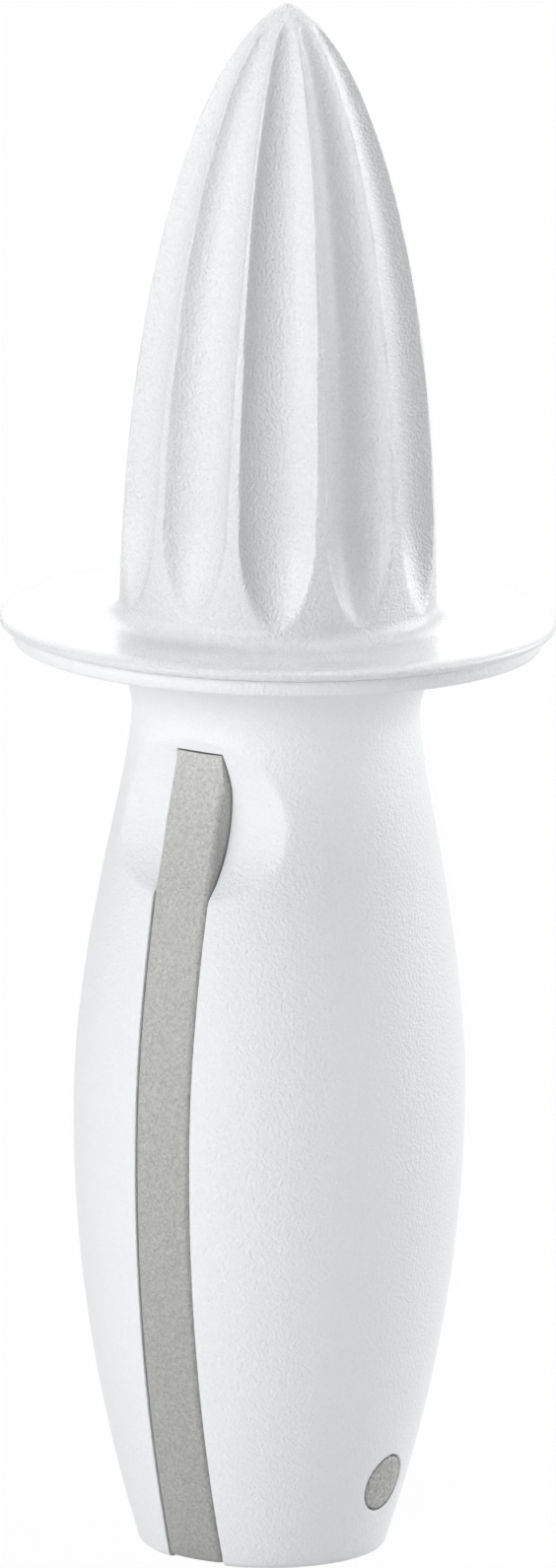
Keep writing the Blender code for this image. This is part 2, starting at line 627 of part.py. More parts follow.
def hang_on_pivot(pieces):
    """Parent the moving pieces to an empty on the pivot's axis, without moving them."""
    hinge = bpy.data.objects.new("arm_hinge", None)
    hinge.location = (0.0, 0.0, PIVOT_HEIGHT)
    bpy.context.scene.collection.objects.link(hinge)
    for piece in pieces:
        piece.parent = hinge
        piece.matrix_parent_inverse = Matrix.Translation((0.0, 0.0, -PIVOT_HEIGHT))


def main():
    """Build every piece of the juicer."""
    for piece in list(bpy.data.objects):
        bpy.data.objects.remove(piece, do_unlink=True)
    white = plastic("white_plastic", WHITE, 0.35)
    grey = plastic("grey_plastic", GREY, 0.6)
    steel = plastic("steel", STEEL, 0.3, 1.0)
    seal = plastic("seal_rubber", DARK, 0.7)
    washer = plastic("washer_plastic", WHITE, 0.5)

    build_handle(white)
    build_reamer(white)
    build_seal(seal)
    arm = build_arm(grey)
    plate = build_plate(steel)
    rivets = build_rivets(steel)
    build_pivot(grey)
    build_washers(washer)
    hang_on_pivot([arm, plate, *rivets])


main()
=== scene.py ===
"""Dresses the hand citrus reamer with its folding grater arm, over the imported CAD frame."""

import logging
import math
from collections.abc import Iterable, Sequence
from dataclasses import dataclass
from enum import Enum

import bmesh
import bpy
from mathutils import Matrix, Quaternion, Vector
from mathutils.geometry import tessellate_polygon


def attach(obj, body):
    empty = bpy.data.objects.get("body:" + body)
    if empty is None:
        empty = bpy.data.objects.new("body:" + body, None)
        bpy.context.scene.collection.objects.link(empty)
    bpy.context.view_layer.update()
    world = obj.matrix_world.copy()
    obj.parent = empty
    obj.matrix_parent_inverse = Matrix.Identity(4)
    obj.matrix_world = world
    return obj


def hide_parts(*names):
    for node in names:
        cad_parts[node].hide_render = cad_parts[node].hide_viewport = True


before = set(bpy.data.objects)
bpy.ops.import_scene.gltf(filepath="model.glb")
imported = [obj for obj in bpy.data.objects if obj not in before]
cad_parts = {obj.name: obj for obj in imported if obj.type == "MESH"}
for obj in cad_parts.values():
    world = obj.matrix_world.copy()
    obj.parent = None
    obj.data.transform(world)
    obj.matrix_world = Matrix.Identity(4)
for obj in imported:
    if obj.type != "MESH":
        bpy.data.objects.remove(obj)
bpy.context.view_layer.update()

log = logging.getLogger("juicer")

MM = 0.001
WELD = 2e-7                   # metres within which points are one
PINHOLE_SIDES = 6             # most edges of a hole that is filled
SEAM = 5 * WELD               # metres within which the edges of two joined meshes are one
BEYOND = 60 * MM              # reach of a cutter that goes right out of a piece
ROUND_STEPS = 5               # steps of a small round
WHITE = (1.0, 1.0, 1.0, 1.0)

Point = tuple[float, float, float]
Pair = tuple[float, float]
Counts = tuple[int, ...]
Link = bpy.types.NodeSocket


class Body(Enum):
    """The moving bodies of the frame."""
    HANDLE = "handle"
    ARM = "grater_arm"


# Node maths

class Value:
    """A number socket whose Python operators add Math nodes."""

    def __init__(self, graph: "Graph", socket: Link) -> None:
        """Wrap a socket of a graph."""
        self.graph = graph
        self.socket = socket

    def math(self, operation: str, *others: "Value | float", first: "Value | float | None" = None) -> "Value":
        """Add one Math node.

        Args:
            operation: The Math node's operation.
            others: The values after the first.
            first: The first value, if it isn't this one.

        Returns:
            The node's result.
        """
        values = [self if first is None else first, *others]
        made = self.graph.node("ShaderNodeMath", {"operation": operation}, dict(enumerate(values)))
        return Value(self.graph, made.outputs[0])

    def __add__(self, other: "Value | float") -> "Value":
        """Add a value."""
        return self.math("ADD", other)

    def __radd__(self, other: float) -> "Value":
        """Add this value to a number."""
        return self.math("ADD", other)

    def __sub__(self, other: "Value | float") -> "Value":
        """Take a value away."""
        return self.math("SUBTRACT", other)

    def __rsub__(self, other: float) -> "Value":
        """Take this value from a number."""
        return self.math("SUBTRACT", self, first=other)

    def __mul__(self, other: "Value | float") -> "Value":
        """Multiply by a value."""
        return self.math("MULTIPLY", other)

    def __rmul__(self, other: float) -> "Value":
        """Multiply a number by this value."""
        return self.math("MULTIPLY", other)

    def __truediv__(self, other: "Value | float") -> "Value":
        """Divide by a value."""
        return self.math("DIVIDE", other)

    def __rtruediv__(self, other: float) -> "Value":
        """Divide a number by this value."""
        return self.math("DIVIDE", self, first=other)

    def __pow__(self, power: "Value | float") -> "Value":
        """Raise to a power."""
        return self.math("POWER", power)

    def __rpow__(self, base: float) -> "Value":
        """Raise a number to this power."""
        return self.math("POWER", self, first=base)

    def __neg__(self) -> "Value":
        """Turn the sign."""
        return self.math("MULTIPLY", -1.0)

    def at_least(self, low: "Value | float") -> "Value":
        """Keep the value from falling below a limit."""
        return self.math("MAXIMUM", low)

    def at_most(self, high: "Value | float") -> "Value":
        """Keep the value from rising above a limit."""
        return self.math("MINIMUM", high)

    def clamped(self) -> "Value":
        """Keep the value from 0 to 1."""
        return self.at_least(0.0).at_most(1.0)


class Graph:
    """A node tree that is built by calls."""

    def __init__(self, tree: bpy.types.NodeTree) -> None:
        """Start from an empty tree."""
        self.tree = tree
        tree.nodes.clear()

    def node(self, kind: str, settings: dict[str, object] | None = None,
             values: dict[str | int, object] | None = None) -> bpy.types.Node:
        """Add one node.

        Args:
            kind: The node's type.
            settings: Its properties, set before its sockets.
            values: Its inputs by name or number, each a Value, a socket or a constant.

        Returns:
            The node.
        """
        made = self.tree.nodes.new(kind)
        for name, value in (settings or {}).items():
            setattr(made, name, value)
        for key, value in (values or {}).items():
            source = value.socket if isinstance(value, Value) else value
            if isinstance(source, Link):
                self.tree.links.new(source, made.inputs[key])
            else:
                made.inputs[key].default_value = source
        return made

    def value(self, kind: str, output: str | int, settings: dict[str, object] | None = None,
              values: dict[str | int, object] | None = None) -> Value:
        """Add one node and wrap one of its outputs."""
        return Value(self, self.node(kind, settings, values).outputs[output])


# Finishes

def new_shader(name: str) -> tuple[bpy.types.Material, Graph]:
    """Make an empty node material and the graph that fills it."""
    material = bpy.data.materials.new(name)
    material.use_nodes = True
    return material, Graph(material.node_tree)


def grown_noise(graph: Graph, feature: float, detail: float = 2.0,
                stretch: Point = (1.0, 1.0, 1.0)) -> Value:
    """Add noise on Object coordinates.

    Args:
        graph: The material's graph.
        feature: The size of one blob, in metres.
        detail: The noise's octaves.
        stretch: How many times longer a blob is along each axis.

    Returns:
        The noise, around one half.
    """
    place = graph.node("ShaderNodeTexCoord").outputs["Object"]
    scale = tuple(1.0 / s for s in stretch)
    laid = graph.node("ShaderNodeMapping", None, {"Vector": place, "Scale": scale}).outputs["Vector"]
    return graph.value("ShaderNodeTexNoise", 0, None,
                       {"Vector": laid, "Scale": 1.0 / feature, "Detail": detail})


def blended_colour(graph: Graph, share: Value, low: Point, high: Point) -> Link:
    """Mix two colours by a value.

    Args:
        graph: The material's graph.
        share: How much of the second colour shows.
        low: The first colour.
        high: The second colour.

    Returns:
        The mixed colour.
    """
    mixed = graph.node("ShaderNodeMix", {"data_type": "RGBA"},
                       {0: share, 6: (*low, 1.0), 7: (*high, 1.0)})
    return mixed.outputs[2]


def bumped(graph: Graph, height: Value, depth: float) -> Link:
    """Give the normal of a texture that is depth metres high."""
    return graph.node("ShaderNodeBump", None, {"Height": height, "Distance": depth}).outputs["Normal"]


def close_material(graph: Graph, inputs: dict[str, object]) -> None:
    """End a material's graph in a Principled shader with the given inputs."""
    shader = graph.node("ShaderNodeBsdfPrincipled", None, inputs)
    graph.node("ShaderNodeOutputMaterial", None, {"Surface": shader.outputs[0]})


@dataclass(frozen=True)
class MouldedPlastic:
    """Moulded plastic with the fine spark texture of its mould, laid in two layers."""
    name: str
    colour: Point
    roughness: float
    grain: float              # size of one pit of the first layer, in metres
    depth: float              # height of the texture, in metres
    speckle: float = 0.02     # how far its tone wanders from the colour
    gloss: float = 0.0        # weight of its polished skin
    polished_below: float = 0.0  # height under which that skin is thicker, in metres
    polish_ramp: float = MM   # depth below that height for a weight of 1
    polish_cap: float = 0.7   # its greatest weight
    polish_roughness: float = 0.25
    painted_top_light: float = 0.0       # painted light: share by which its tone is made lighter at the height given next, standing in for the light that falls more on its upper parts
    # height at which the painted lightening reaches that share
    painted_light_height: float = 90 * MM
    painted_light_power: float = 1.6   # how late on the way up that painted lightening grows
    fineness: float = 2.6     # how many times smaller the second layer's pits are
    fine_relief: float = 0.35  # height of the second layer, as a share of the first's
    fine_sheen: float = 0.1   # how far the second layer moves the roughness
    contrast: float = 1.6     # how strongly both layers move the tone
    flow: float = 40.0        # how many pits long one wander of the sheen is
    sheen_spread: float = 0.06  # how far that moves the roughness

    def build(self) -> bpy.types.Material:
        """Build the material."""
        material, graph = new_shader(self.name)
        texture = grown_noise(graph, self.grain)
        fine = grown_noise(graph, self.grain / self.fineness, detail=1.0)
        flow = grown_noise(graph, self.flow * self.grain, detail=1.0)
        low = tuple(c * (1 - self.speckle) for c in self.colour)
        high = tuple(min(c * (1 + self.speckle), 1.0) for c in self.colour)
        share = (texture - 0.5) * self.contrast + (fine - 0.5) * self.contrast + 0.5
        place = graph.node("ShaderNodeTexCoord").outputs["Object"]
        height = graph.value("ShaderNodeSeparateXYZ", "Z", None, {0: place})
        # Painted light: the base colour grows lighter up the piece, standing in for light from above.
        painted_light_scale = 1.0 + self.painted_top_light * (height / self.painted_light_height).at_least(0.0) ** self.painted_light_power
        tone = graph.node("ShaderNodeVectorMath", {"operation": "SCALE"},
                          {0: blended_colour(graph, share, low, high), "Scale": painted_light_scale})
        sheen = (flow - 0.5) * (2 * self.sheen_spread)
        polish = (self.polished_below - height) / self.polish_ramp
        close_material(graph, {
            "Base Color": tone.outputs[0],
            "Roughness": self.roughness + sheen + (fine - 0.5) * self.fine_sheen,
            "Coat Weight": polish.at_most(self.polish_cap).at_least(self.gloss),
            "Coat Roughness": self.polish_roughness,
            "Normal": bumped(graph, texture + self.fine_relief * fine, self.depth)})
        return material


@dataclass(frozen=True)
class BrushedSteel:
    """Stainless sheet, rolled along Z and dulled by use."""
    name: str
    colour: Point = (0.62, 0.62, 0.61)
    roughness: float = 0.27
    line: float = 0.25 * MM   # width of a rolling line
    length: float = 45.0      # how many times longer than wide it is
    depth: float = 0.004 * MM
    shade: float = 0.88       # tone of the darkest lines, as a share of the colour
    line_sheen: float = 0.22  # how far the lines move the roughness
    smudge: float = 60.0      # how many lines wide a smudge is
    smudge_sheen: float = 0.18  # how far the smudges move the roughness

    def build(self) -> bpy.types.Material:
        """Build the material."""
        material, graph = new_shader(self.name)
        lines = grown_noise(graph, self.line, detail=3.0, stretch=(1.0, 1.0, self.length))
        smudges = grown_noise(graph, self.smudge * self.line)
        low = tuple(c * self.shade for c in self.colour)
        sheen = (lines - 0.5) * self.line_sheen
        close_material(graph, {
            "Base Color": blended_colour(graph, lines, low, self.colour),
            "Roughness": self.roughness + sheen + (smudges - 0.5) * self.smudge_sheen,
            "Metallic": 1.0, "Normal": bumped(graph, lines, self.depth)})
        return material


@dataclass(frozen=True)
class MouldedRubber:
    """Soft dark rubber, matt with a dusty bloom."""
    name: str
    colour: Point = (0.035, 0.035, 0.036)
    bloom: Point = (0.085, 0.085, 0.083)
    roughness: float = 0.72
    grain: float = 0.3 * MM   # size of one pore
    depth: float = 0.02 * MM
    patch: float = 6.0        # how many pores wide a patch of bloom is
    sparseness: float = 2.0   # power that thins the bloom out
    bloom_sheen: float = 0.2  # how far it moves the roughness

    def build(self) -> bpy.types.Material:
        """Build the material."""
        material, graph = new_shader(self.name)
        dust = grown_noise(graph, self.patch * self.grain, detail=4.0)
        pores = grown_noise(graph, self.grain)
        close_material(graph, {
            "Base Color": blended_colour(graph, dust ** self.sparseness, self.colour, self.bloom),
            "Roughness": self.roughness + (dust - 0.5) * self.bloom_sheen,
            "Normal": bumped(graph, pores, self.depth)})
        return material


@dataclass(frozen=True)
class Finishes:
    """Every finish of the juicer, built once and shared by its pieces."""
    handle: bpy.types.Material
    reamer: bpy.types.Material
    arm: bpy.types.Material
    pivot: bpy.types.Material
    washer: bpy.types.Material
    plate: bpy.types.Material
    rivet: bpy.types.Material
    seal: bpy.types.Material

    @classmethod
    def build(cls) -> "Finishes":
        """Build the materials."""
        white = (0.862, 0.872, 0.884)
        cone_white = (0.80, 0.808, 0.82)
        grey = (0.43, 0.432, 0.425)
        arm_grey = (0.385, 0.387, 0.38)
        steel = (0.58, 0.58, 0.57)
        return cls(
            handle=MouldedPlastic("handle_plastic", white, roughness=0.44, grain=0.4 * MM,
                                  depth=0.17 * MM).build(),
            reamer=MouldedPlastic("reamer_plastic", cone_white, roughness=0.26, grain=0.38 * MM,
                                  depth=0.24 * MM, speckle=0.04, gloss=0.42,
                                  polished_below=112.6 * MM).build(),
            # The arm's tone is painted lighter towards its top, as painted light from above.
            arm=MouldedPlastic("arm_plastic", arm_grey, roughness=0.5, grain=0.42 * MM, depth=0.2 * MM,
                               speckle=0.22, painted_top_light=0.36).build(),
            pivot=MouldedPlastic("pivot_plastic", grey, roughness=0.46, grain=0.5 * MM, depth=0.25 * MM,
                                 speckle=0.36).build(),
            washer=MouldedPlastic("washer_plastic", (0.8, 0.8, 0.78), roughness=0.38, grain=0.4 * MM,
                                  depth=0.01 * MM).build(),
            plate=BrushedSteel("plate_steel").build(),
            rivet=BrushedSteel("rivet_steel", steel, roughness=0.22, line=0.12 * MM, length=6.0,
                               depth=0.002 * MM).build(),
            seal=MouldedRubber("seal_rubber").build())


# Mesh making

def spread(low: float, high: float, count: int) -> list[float]:
    """Give count + 1 even steps from low to high."""
    return [low + (high - low) * i / count for i in range(count + 1)]


def ladder(stops: Sequence[float], counts: Counts) -> list[float]:
    """Give even steps from each stop to the next, one count for each of them."""
    legs = zip(stops, stops[1:], counts)
    return [stops[0], *[step for low, high, count in legs for step in spread(low, high, count)[1:]]]


def arc(centre: Pair, radius: float, start: float, end: float, steps: int) -> list[Pair]:
    """Give points of an arc.

    Args:
        centre: The arc's centre.
        radius: Its radius.
        start: Its first angle, in degrees.
        end: Its last angle, in degrees.
        steps: The number of steps between them.

    Returns:
        The points, both ends included.
    """
    angles = (math.radians(a) for a in spread(start, end, steps))
    return [(centre[0] + radius * math.cos(a), centre[1] + radius * math.sin(a)) for a in angles]


def circle(centre: Pair, radius: float, sides: int) -> list[Pair]:
    """Give the points of a whole circle."""
    return arc(centre, radius, 0, 360, sides)[:-1]


def quarter(steps: int) -> list[Pair]:
    """Give (1 - cosine, 1 - sine) at even steps from 0 to 90 degrees, for round edges."""
    return [(1 - math.cos(a), 1 - math.sin(a)) for a in (math.radians(d) for d in spread(0, 90, steps))]


def full_turn(sides: int) -> list[float]:
    """Give even angles round a full turn, in radians."""
    return [math.tau * i / sides for i in range(sides)]


def bend(start: Pair, corner: Pair, end: Pair, steps: int = 4) -> list[Pair]:
    """Round a corner off by a curve that leaves start towards corner and arrives at end."""
    return [tuple((1 - t) ** 2 * a + 2 * t * (1 - t) * b + t ** 2 * c for a, b, c in zip(start, corner, end))
            for t in spread(0.0, 1.0, steps)]


def add_object(name: str, data: bpy.types.Mesh | bpy.types.Camera | bpy.types.Light) -> bpy.types.Object:
    """Put a mesh, a camera or a light into the scene as an object at the origin."""
    made = bpy.data.objects.new(name, data)
    bpy.context.scene.collection.objects.link(made)
    return made


def skin(name: str, rings: Sequence[Sequence[Point]], capped: bool = True) -> bpy.types.Object:
    """Join rings of points into a skin.

    Args:
        name: The object's name.
        rings: The rings, all of one length, or of one point where the skin closes to a pole.
        capped: Whether the ends get a flat face.

    Returns:
        The object, its points merged and its faces pointing out.
    """
    starts: list[int] = []
    points: list[Point] = []
    for ring in rings:
        starts.append(len(points))
        points.extend(tuple(p) for p in ring)
    faces: list[tuple[int, ...]] = []
    for low, high in zip(range(len(rings)), range(1, len(rings))):
        many_low, many_high = len(rings[low]), len(rings[high])
        count = max(many_low, many_high)
        for i in range(count):
            j = (i + 1) % count
            corners = (starts[low] + i % many_low, starts[low] + j % many_low,
                       starts[high] + j % many_high, starts[high] + i % many_high)
            faces.append(tuple(dict.fromkeys(corners)))
    if capped:
        for end in (0, len(rings) - 1):
            if len(rings[end]) > 2:
                faces.append(tuple(range(starts[end], starts[end] + len(rings[end]))))
    mesh = bpy.data.meshes.new(name)
    mesh.from_pydata(points, [], faces)
    piece = add_object(name, mesh)
    tidy_skin(piece)
    return piece


def tidy_skin(piece: bpy.types.Object) -> None:
    """Merge the points that coincide, drop empty faces, fill pinholes and turn all faces outwards."""
    bm = bmesh.new()
    bm.from_mesh(piece.data)
    bmesh.ops.remove_doubles(bm, verts=bm.verts, dist=WELD)
    bmesh.ops.dissolve_degenerate(bm, edges=bm.edges, dist=WELD)
    bmesh.ops.holes_fill(bm, edges=[edge for edge in bm.edges if edge.is_boundary], sides=PINHOLE_SIDES)
    bmesh.ops.recalc_face_normals(bm, faces=bm.faces)
    bm.to_mesh(piece.data)
    bm.free()


def join(piece: bpy.types.Object, *others: bpy.types.Object, distance: float = SEAM) -> None:
    """Add the meshes of others to a piece, weld them where they meet and delete the others."""
    bm = bmesh.new()
    for one in (piece, *others):
        bm.from_mesh(one.data)
    bmesh.ops.remove_doubles(bm, verts=bm.verts, dist=distance)
    bmesh.ops.recalc_face_normals(bm, faces=bm.faces)
    bm.to_mesh(piece.data)
    bm.free()
    drop(*others)


def turned_rings(profile: Sequence[Pair], turns: Sequence[float]) -> list[list[Point]]:
    """Turn a profile of (radius, height) about Z at the given angles from -Y."""
    return [[(r * math.sin(t), -r * math.cos(t), z) for t in (turns if r > WELD else turns[:1])]
            for r, z in profile]


def turned(name: str, profile: Sequence[Pair], sides: int, place: Pair = (0.0, 0.0)) -> bpy.types.Object:
    """Turn a closed profile, from axis to axis, about a line along X.

    Args:
        name: The object's name.
        profile: Points of (radius, distance along the line).
        sides: The number of facets.
        place: The (y, z) place of the line.

    Returns:
        The object.
    """
    rings = turned_rings(profile, full_turn(sides))
    return skin(name, [[(z, place[0] + x, place[1] + y) for x, y, z in ring] for ring in rings])


def evaluated_mesh(piece: bpy.types.Object) -> bpy.types.Mesh:
    """Give the mesh of a piece with its modifiers applied."""
    graph = bpy.context.evaluated_depsgraph_get()
    graph.update()
    return bpy.data.meshes.new_from_object(piece.evaluated_get(graph), depsgraph=graph)


def drop(*pieces: bpy.types.Object) -> None:
    """Delete helper objects."""
    for piece in pieces:
        bpy.data.objects.remove(piece, do_unlink=True)


def carve(piece: bpy.types.Object, *cutters: bpy.types.Object) -> None:
    """Cut a piece by cutters, then apply the cuts and delete the cutters."""
    for cutter in cutters:
        cut = piece.modifiers.new(cutter.name, "BOOLEAN")
        cut.operation = "DIFFERENCE"
        cut.solver = "EXACT"
        cut.object = cutter
    mesh = evaluated_mesh(piece)
    piece.modifiers.clear()
    piece.data = mesh
    drop(*cutters)
    tidy_skin(piece)


def finish_piece(piece: bpy.types.Object, material: bpy.types.Material, body: Body,
                 nodes: Iterable[str], crease: float = 32.0) -> None:
    """Args:
        piece: The piece.
        material: Its one material.
        body: The body that it rides on.
        nodes: The CAD nodes that it stands for.
        crease: The angle in degrees beyond which an edge is shaded sharp.
    """
    piece.data.materials.clear()
    piece.data.materials.append(material)
    for face in piece.data.polygons:
        face.material_index = 0
    piece.data.shade_smooth()
    piece.data.set_sharp_from_angle(angle=math.radians(crease))
    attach(piece, body.value)
    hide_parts(*nodes)
    log.info("%s: %d faces, rides on %s", piece.name, len(piece.data.polygons), body.value)


def dress_node(name: str, material: bpy.types.Material) -> None:
    """Give a carried-over CAD node its finish."""
    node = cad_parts[name]
    for slot in node.material_slots:
        slot.material = material
    log.info("%s: CAD node dressed in %s", name, material.name)


class RuleTree(Graph):
    """A Geometry Nodes tree with named inputs, run once on an object."""

    KINDS = {float: "NodeSocketFloat", int: "NodeSocketInt", bpy.types.Material: "NodeSocketMaterial",
             bpy.types.Object: "NodeSocketObject"}

    def __init__(self, name: str,
                 inputs: dict[str, float | int | bpy.types.Material | bpy.types.Object]) -> None:
        """Make the tree and its named inputs.

        Args:
            name: The tree's name.
            inputs: Each input's name and the value that it gets.
        """
        super().__init__(bpy.data.node_groups.new(name, "GeometryNodeTree"))
        interface = self.tree.interface
        interface.new_socket(name="Geometry", in_out="OUTPUT", socket_type="NodeSocketGeometry")
        interface.new_socket(name="Geometry", in_out="INPUT", socket_type="NodeSocketGeometry")
        self.inputs = inputs
        self.identifiers = {key: interface.new_socket(name=key, in_out="INPUT",
                                                      socket_type=self.KINDS[type(value)]).identifier
                            for key, value in inputs.items()}
        self.source = self.node("NodeGroupInput")

    def given(self, name: str) -> Value:
        """Give one of the named inputs."""
        return Value(self, self.source.outputs[name])

    def close(self, geometry: Link) -> None:
        """End the tree in Realize Instances and Set Material, with the input named Material."""
        real = self.node("GeometryNodeRealizeInstances", None, {"Geometry": geometry})
        dressed = self.node("GeometryNodeSetMaterial", None,
                            {"Geometry": real.outputs[0], "Material": self.given("Material")})
        self.node("NodeGroupOutput", None, {"Geometry": dressed.outputs[0]})

    def run(self, piece: bpy.types.Object) -> None:
        """Run the tree on a piece, whose mesh becomes the result."""
        rule = piece.modifiers.new(self.tree.name, "NODES")
        rule.node_group = self.tree
        for name, identifier in self.identifiers.items():
            rule[identifier] = self.inputs[name]
        mesh = evaluated_mesh(piece)
        piece.modifiers.clear()
        piece.data = mesh


# Handle

@dataclass
class Handle:
    """The white barrel handle: round outline, slot, scoop, socket and pivot hole."""
    material: bpy.types.Material
    height: float = 110.3 * MM
    base_radius: float = 14.43 * MM
    base_flare: float = 0.32
    base_edge: float = 1.0 * MM
    belly_radius: float = 23.05 * MM
    belly_height: float = 53.75 * MM
    shoulder_radius: float = 19.27 * MM
    shoulder_height: float = 85.3 * MM
    shoulder_slope: float = -0.192
    neck_radius: float = 16.88 * MM
    neck_height: float = 100.4 * MM
    neck_slope: float = -0.05
    neck_fillet: float = 8.0 * MM
    collar_radius: float = 31.0 * MM
    collar_thickness: float = 1.9 * MM
    collar_edge: float = 0.5 * MM  # round of its lower edge
    collar_lip: float = 0.2 * MM  # round of its upper edge
    collar_ring: float = 28.0 * MM  # radius of a ring of points on its underside
    socket_radius: float = 14.3 * MM
    socket_lip: float = 0.3 * MM  # bevel of the socket's mouth
    socket_floor: float = 103.2 * MM
    snap_bead: float = 0.5 * MM
    snap_ridge: float = 104.9 * MM
    slot_half: float = 3.8 * MM
    slot_top: float = 98.1 * MM
    slot_floor: float = 5.6 * MM
    slot_corner: Pair = (0.7 * MM, 4.2 * MM)  # how much each side draws in at the top, and over what height
    slot_lip: float = 0.16 * MM   # round of the slot's edges
    slot_lip_growth: float = 0.14 * MM  # how much rounder they are in the scoop
    heel_reach: float = 17.5 * MM  # radius round the pivot that the arm's heel has free
    heel_stop: float = 18.95 * MM  # height where that room ends
    heel_window: float = 13.5 * MM  # height up to which the slot goes through the back
    scoop_radius: float = 15.3 * MM
    scoop_crown: float = 83 * MM  # radius of its floor across the handle
    scoop_height: float = 92.2 * MM
    scoop_depth: float = 2.9 * MM
    scoop_lip: float = 0.35 * MM  # softness of the scoop's edge
    scoop_side: float = 0.2       # cosine of the angle from the front that the scoop stays within
    pocket_radius: float = 12.0 * MM
    pocket_wall: float = 2.0 * MM
    pocket_floor: float = 16.5 * MM
    pocket_overlap: float = 0.5 * MM  # of the pocket's cutter with the socket above it
    pivot_height: float = 9.5 * MM
    pivot_hole: float = 3.5 * MM
    hole_lip: float = 0.15 * MM
    hole_sides: int = 48
    hole_steps: int = 4           # of its lip
    foot_overlap: float = 5.0 * MM  # how far the foot's cutter starts below the base
    dense_height: float = 76.0 * MM  # height from which the rows lie closer
    dense_angle: float = 62.0     # degrees from the front within which the columns lie closer
    rows: Counts = (60, 66)       # below and above dense_height
    columns: Counts = (116, 84)   # within dense_angle and round the rest
    foot_rows: Counts = (6, 12)   # of the slot, over the base's edge and up to heel_window
    heel_rows: int = 6
    slot_rows: Counts = (48, 40, 4)  # up to dense_height, up to the top corners and in them
    fillet_steps: int = 18
    lip_steps: int = 3            # of the collar's upper edge
    pocket_steps: int = 16
    surface_passes: int = 6       # of the search for the surface's reach

    def barrel_radius(self, height: float) -> float:
        """Give the round barrel's radius at a height, its edge at the base included."""
        edge = self.base_edge
        if height < edge:
            drop_in = math.sqrt(max(edge ** 2 - (edge - max(height, 0.0)) ** 2, 0.0))
            return self.barrel_radius(edge) - edge + drop_in
        stations = [(0.0, self.base_radius, self.base_flare), (self.belly_height, self.belly_radius, 0.0),
                    (self.shoulder_height, self.shoulder_radius, self.shoulder_slope),
                    (self.neck_height, self.neck_radius, self.neck_slope)]
        for low, high in zip(stations, stations[1:]):
            if height <= high[0]:
                span = high[0] - low[0]
                t = (height - low[0]) / span
                rise = (2 * t ** 3 - 3 * t ** 2 + 1) * low[1] + (3 * t ** 2 - 2 * t ** 3) * high[1]
                return rise + span * ((t ** 3 - 2 * t ** 2 + t) * low[2] + (t ** 3 - t ** 2) * high[2])
        return self.neck_radius

    def scooped_radius(self, angle: float, height: float, radius: float | None = None) -> float:
        """Give the handle's radius with the finger scoop pressed in.

        Args:
            angle: The angle from -Y, in radians.
            height: The height above the base.
            radius: The radius before the scoop, if it isn't the barrel's.

        Returns:
            The radius, with a soft lip where the scoop meets the barrel.
        """
        radius = self.barrel_radius(height) if radius is None else radius
        rise = height - self.scoop_height
        if abs(rise) >= self.scoop_radius or math.cos(angle) < self.scoop_side:
            return radius
        centre = self.barrel_radius(self.scoop_height) - self.scoop_depth + self.scoop_radius
        floor = centre - math.sqrt(self.scoop_radius ** 2 - rise ** 2)
        crowned = math.sqrt(math.cos(angle) ** 2 + 2 * floor / self.scoop_crown * math.sin(angle) ** 2)
        bottom = 2 * floor / (math.cos(angle) + crowned)
        # A cubic smooth minimum, which is a sixth of the lip deeper where the two surfaces cross.
        overlap = max(self.scoop_lip - abs(radius - bottom), 0.0) / self.scoop_lip
        return min(radius, bottom) - overlap ** 3 * self.scoop_lip / 6

    def surface_y(self, x: float, height: float, scooped: bool = True) -> float:
        """Give how far the handle's front reaches from the axis at a distance x to the side."""
        radius = self.barrel_radius(height)
        for _ in range(self.surface_passes):
            angle = math.asin(min(abs(x) / radius, 1.0))
            radius = self.scooped_radius(angle, height) if scooped else radius
        return math.sqrt(max(radius ** 2 - x ** 2, 0.0))

    def snap(self, radius: float) -> list[Pair]:
        """Give the outline of the snap's groove, or of its bead, on a wall of some radius."""
        slope = 2 * self.snap_bead
        return [(radius, self.snap_ridge + slope), (radius + self.snap_bead, self.snap_ridge),
                (radius, self.snap_ridge - slope)]

    def outer_profile(self) -> list[Pair]:
        """Give the barrel's outline as (radius, height), from its base up into the socket."""
        base = [self.base_edge * c for c, _ in quarter(ROUND_STEPS)]
        side = ladder([self.base_edge, self.dense_height, self.neck_height], self.rows)[1:]
        under = self.height - self.collar_thickness
        fillet = arc((self.neck_radius + self.neck_fillet, self.neck_height),
                     self.neck_fillet, 180, 90, self.fillet_steps)[1:]
        low_edge = arc((self.collar_radius - self.collar_edge, under + self.collar_edge),
                       self.collar_edge, -90, 0, ROUND_STEPS)
        lip, mouth, bore = self.collar_lip, self.socket_lip, self.socket_radius
        top_edge = arc((self.collar_radius - lip, self.height - lip), lip, 0, 90, self.lip_steps)
        socket = [(bore + mouth, self.height), (bore, self.height - mouth), *self.snap(bore),
                  (bore, self.socket_floor), (0.0, self.socket_floor)]
        return [(0.0, 0.0), *[(self.barrel_radius(z), z) for z in base + side], *fillet,
                (self.collar_ring, under), *low_edge, *top_edge, *socket]

    def turns(self) -> list[float]:
        """Give the columns' angles, close together round the slot and the scoop."""
        front = math.radians(self.dense_angle)
        return ladder([-front, front, math.tau - front], self.columns)[:-1]

    def build_shell(self) -> bpy.types.Object:
        """Build the barrel before its cuts, with the scoop in it."""
        turns = self.turns()
        rings: list[list[Point]] = []
        for radius, height in self.outer_profile():
            if radius <= WELD:
                rings.append([(0.0, 0.0, height)])
                continue
            outside = radius > self.socket_radius + MM and height < self.height - self.collar_thickness
            ring = []
            for turn in turns:
                reach = self.scooped_radius(turn, height, radius) if outside else radius
                ring.append((reach * math.sin(turn), -reach * math.cos(turn), height))
            rings.append(ring)
        return skin("handle_shell", rings)

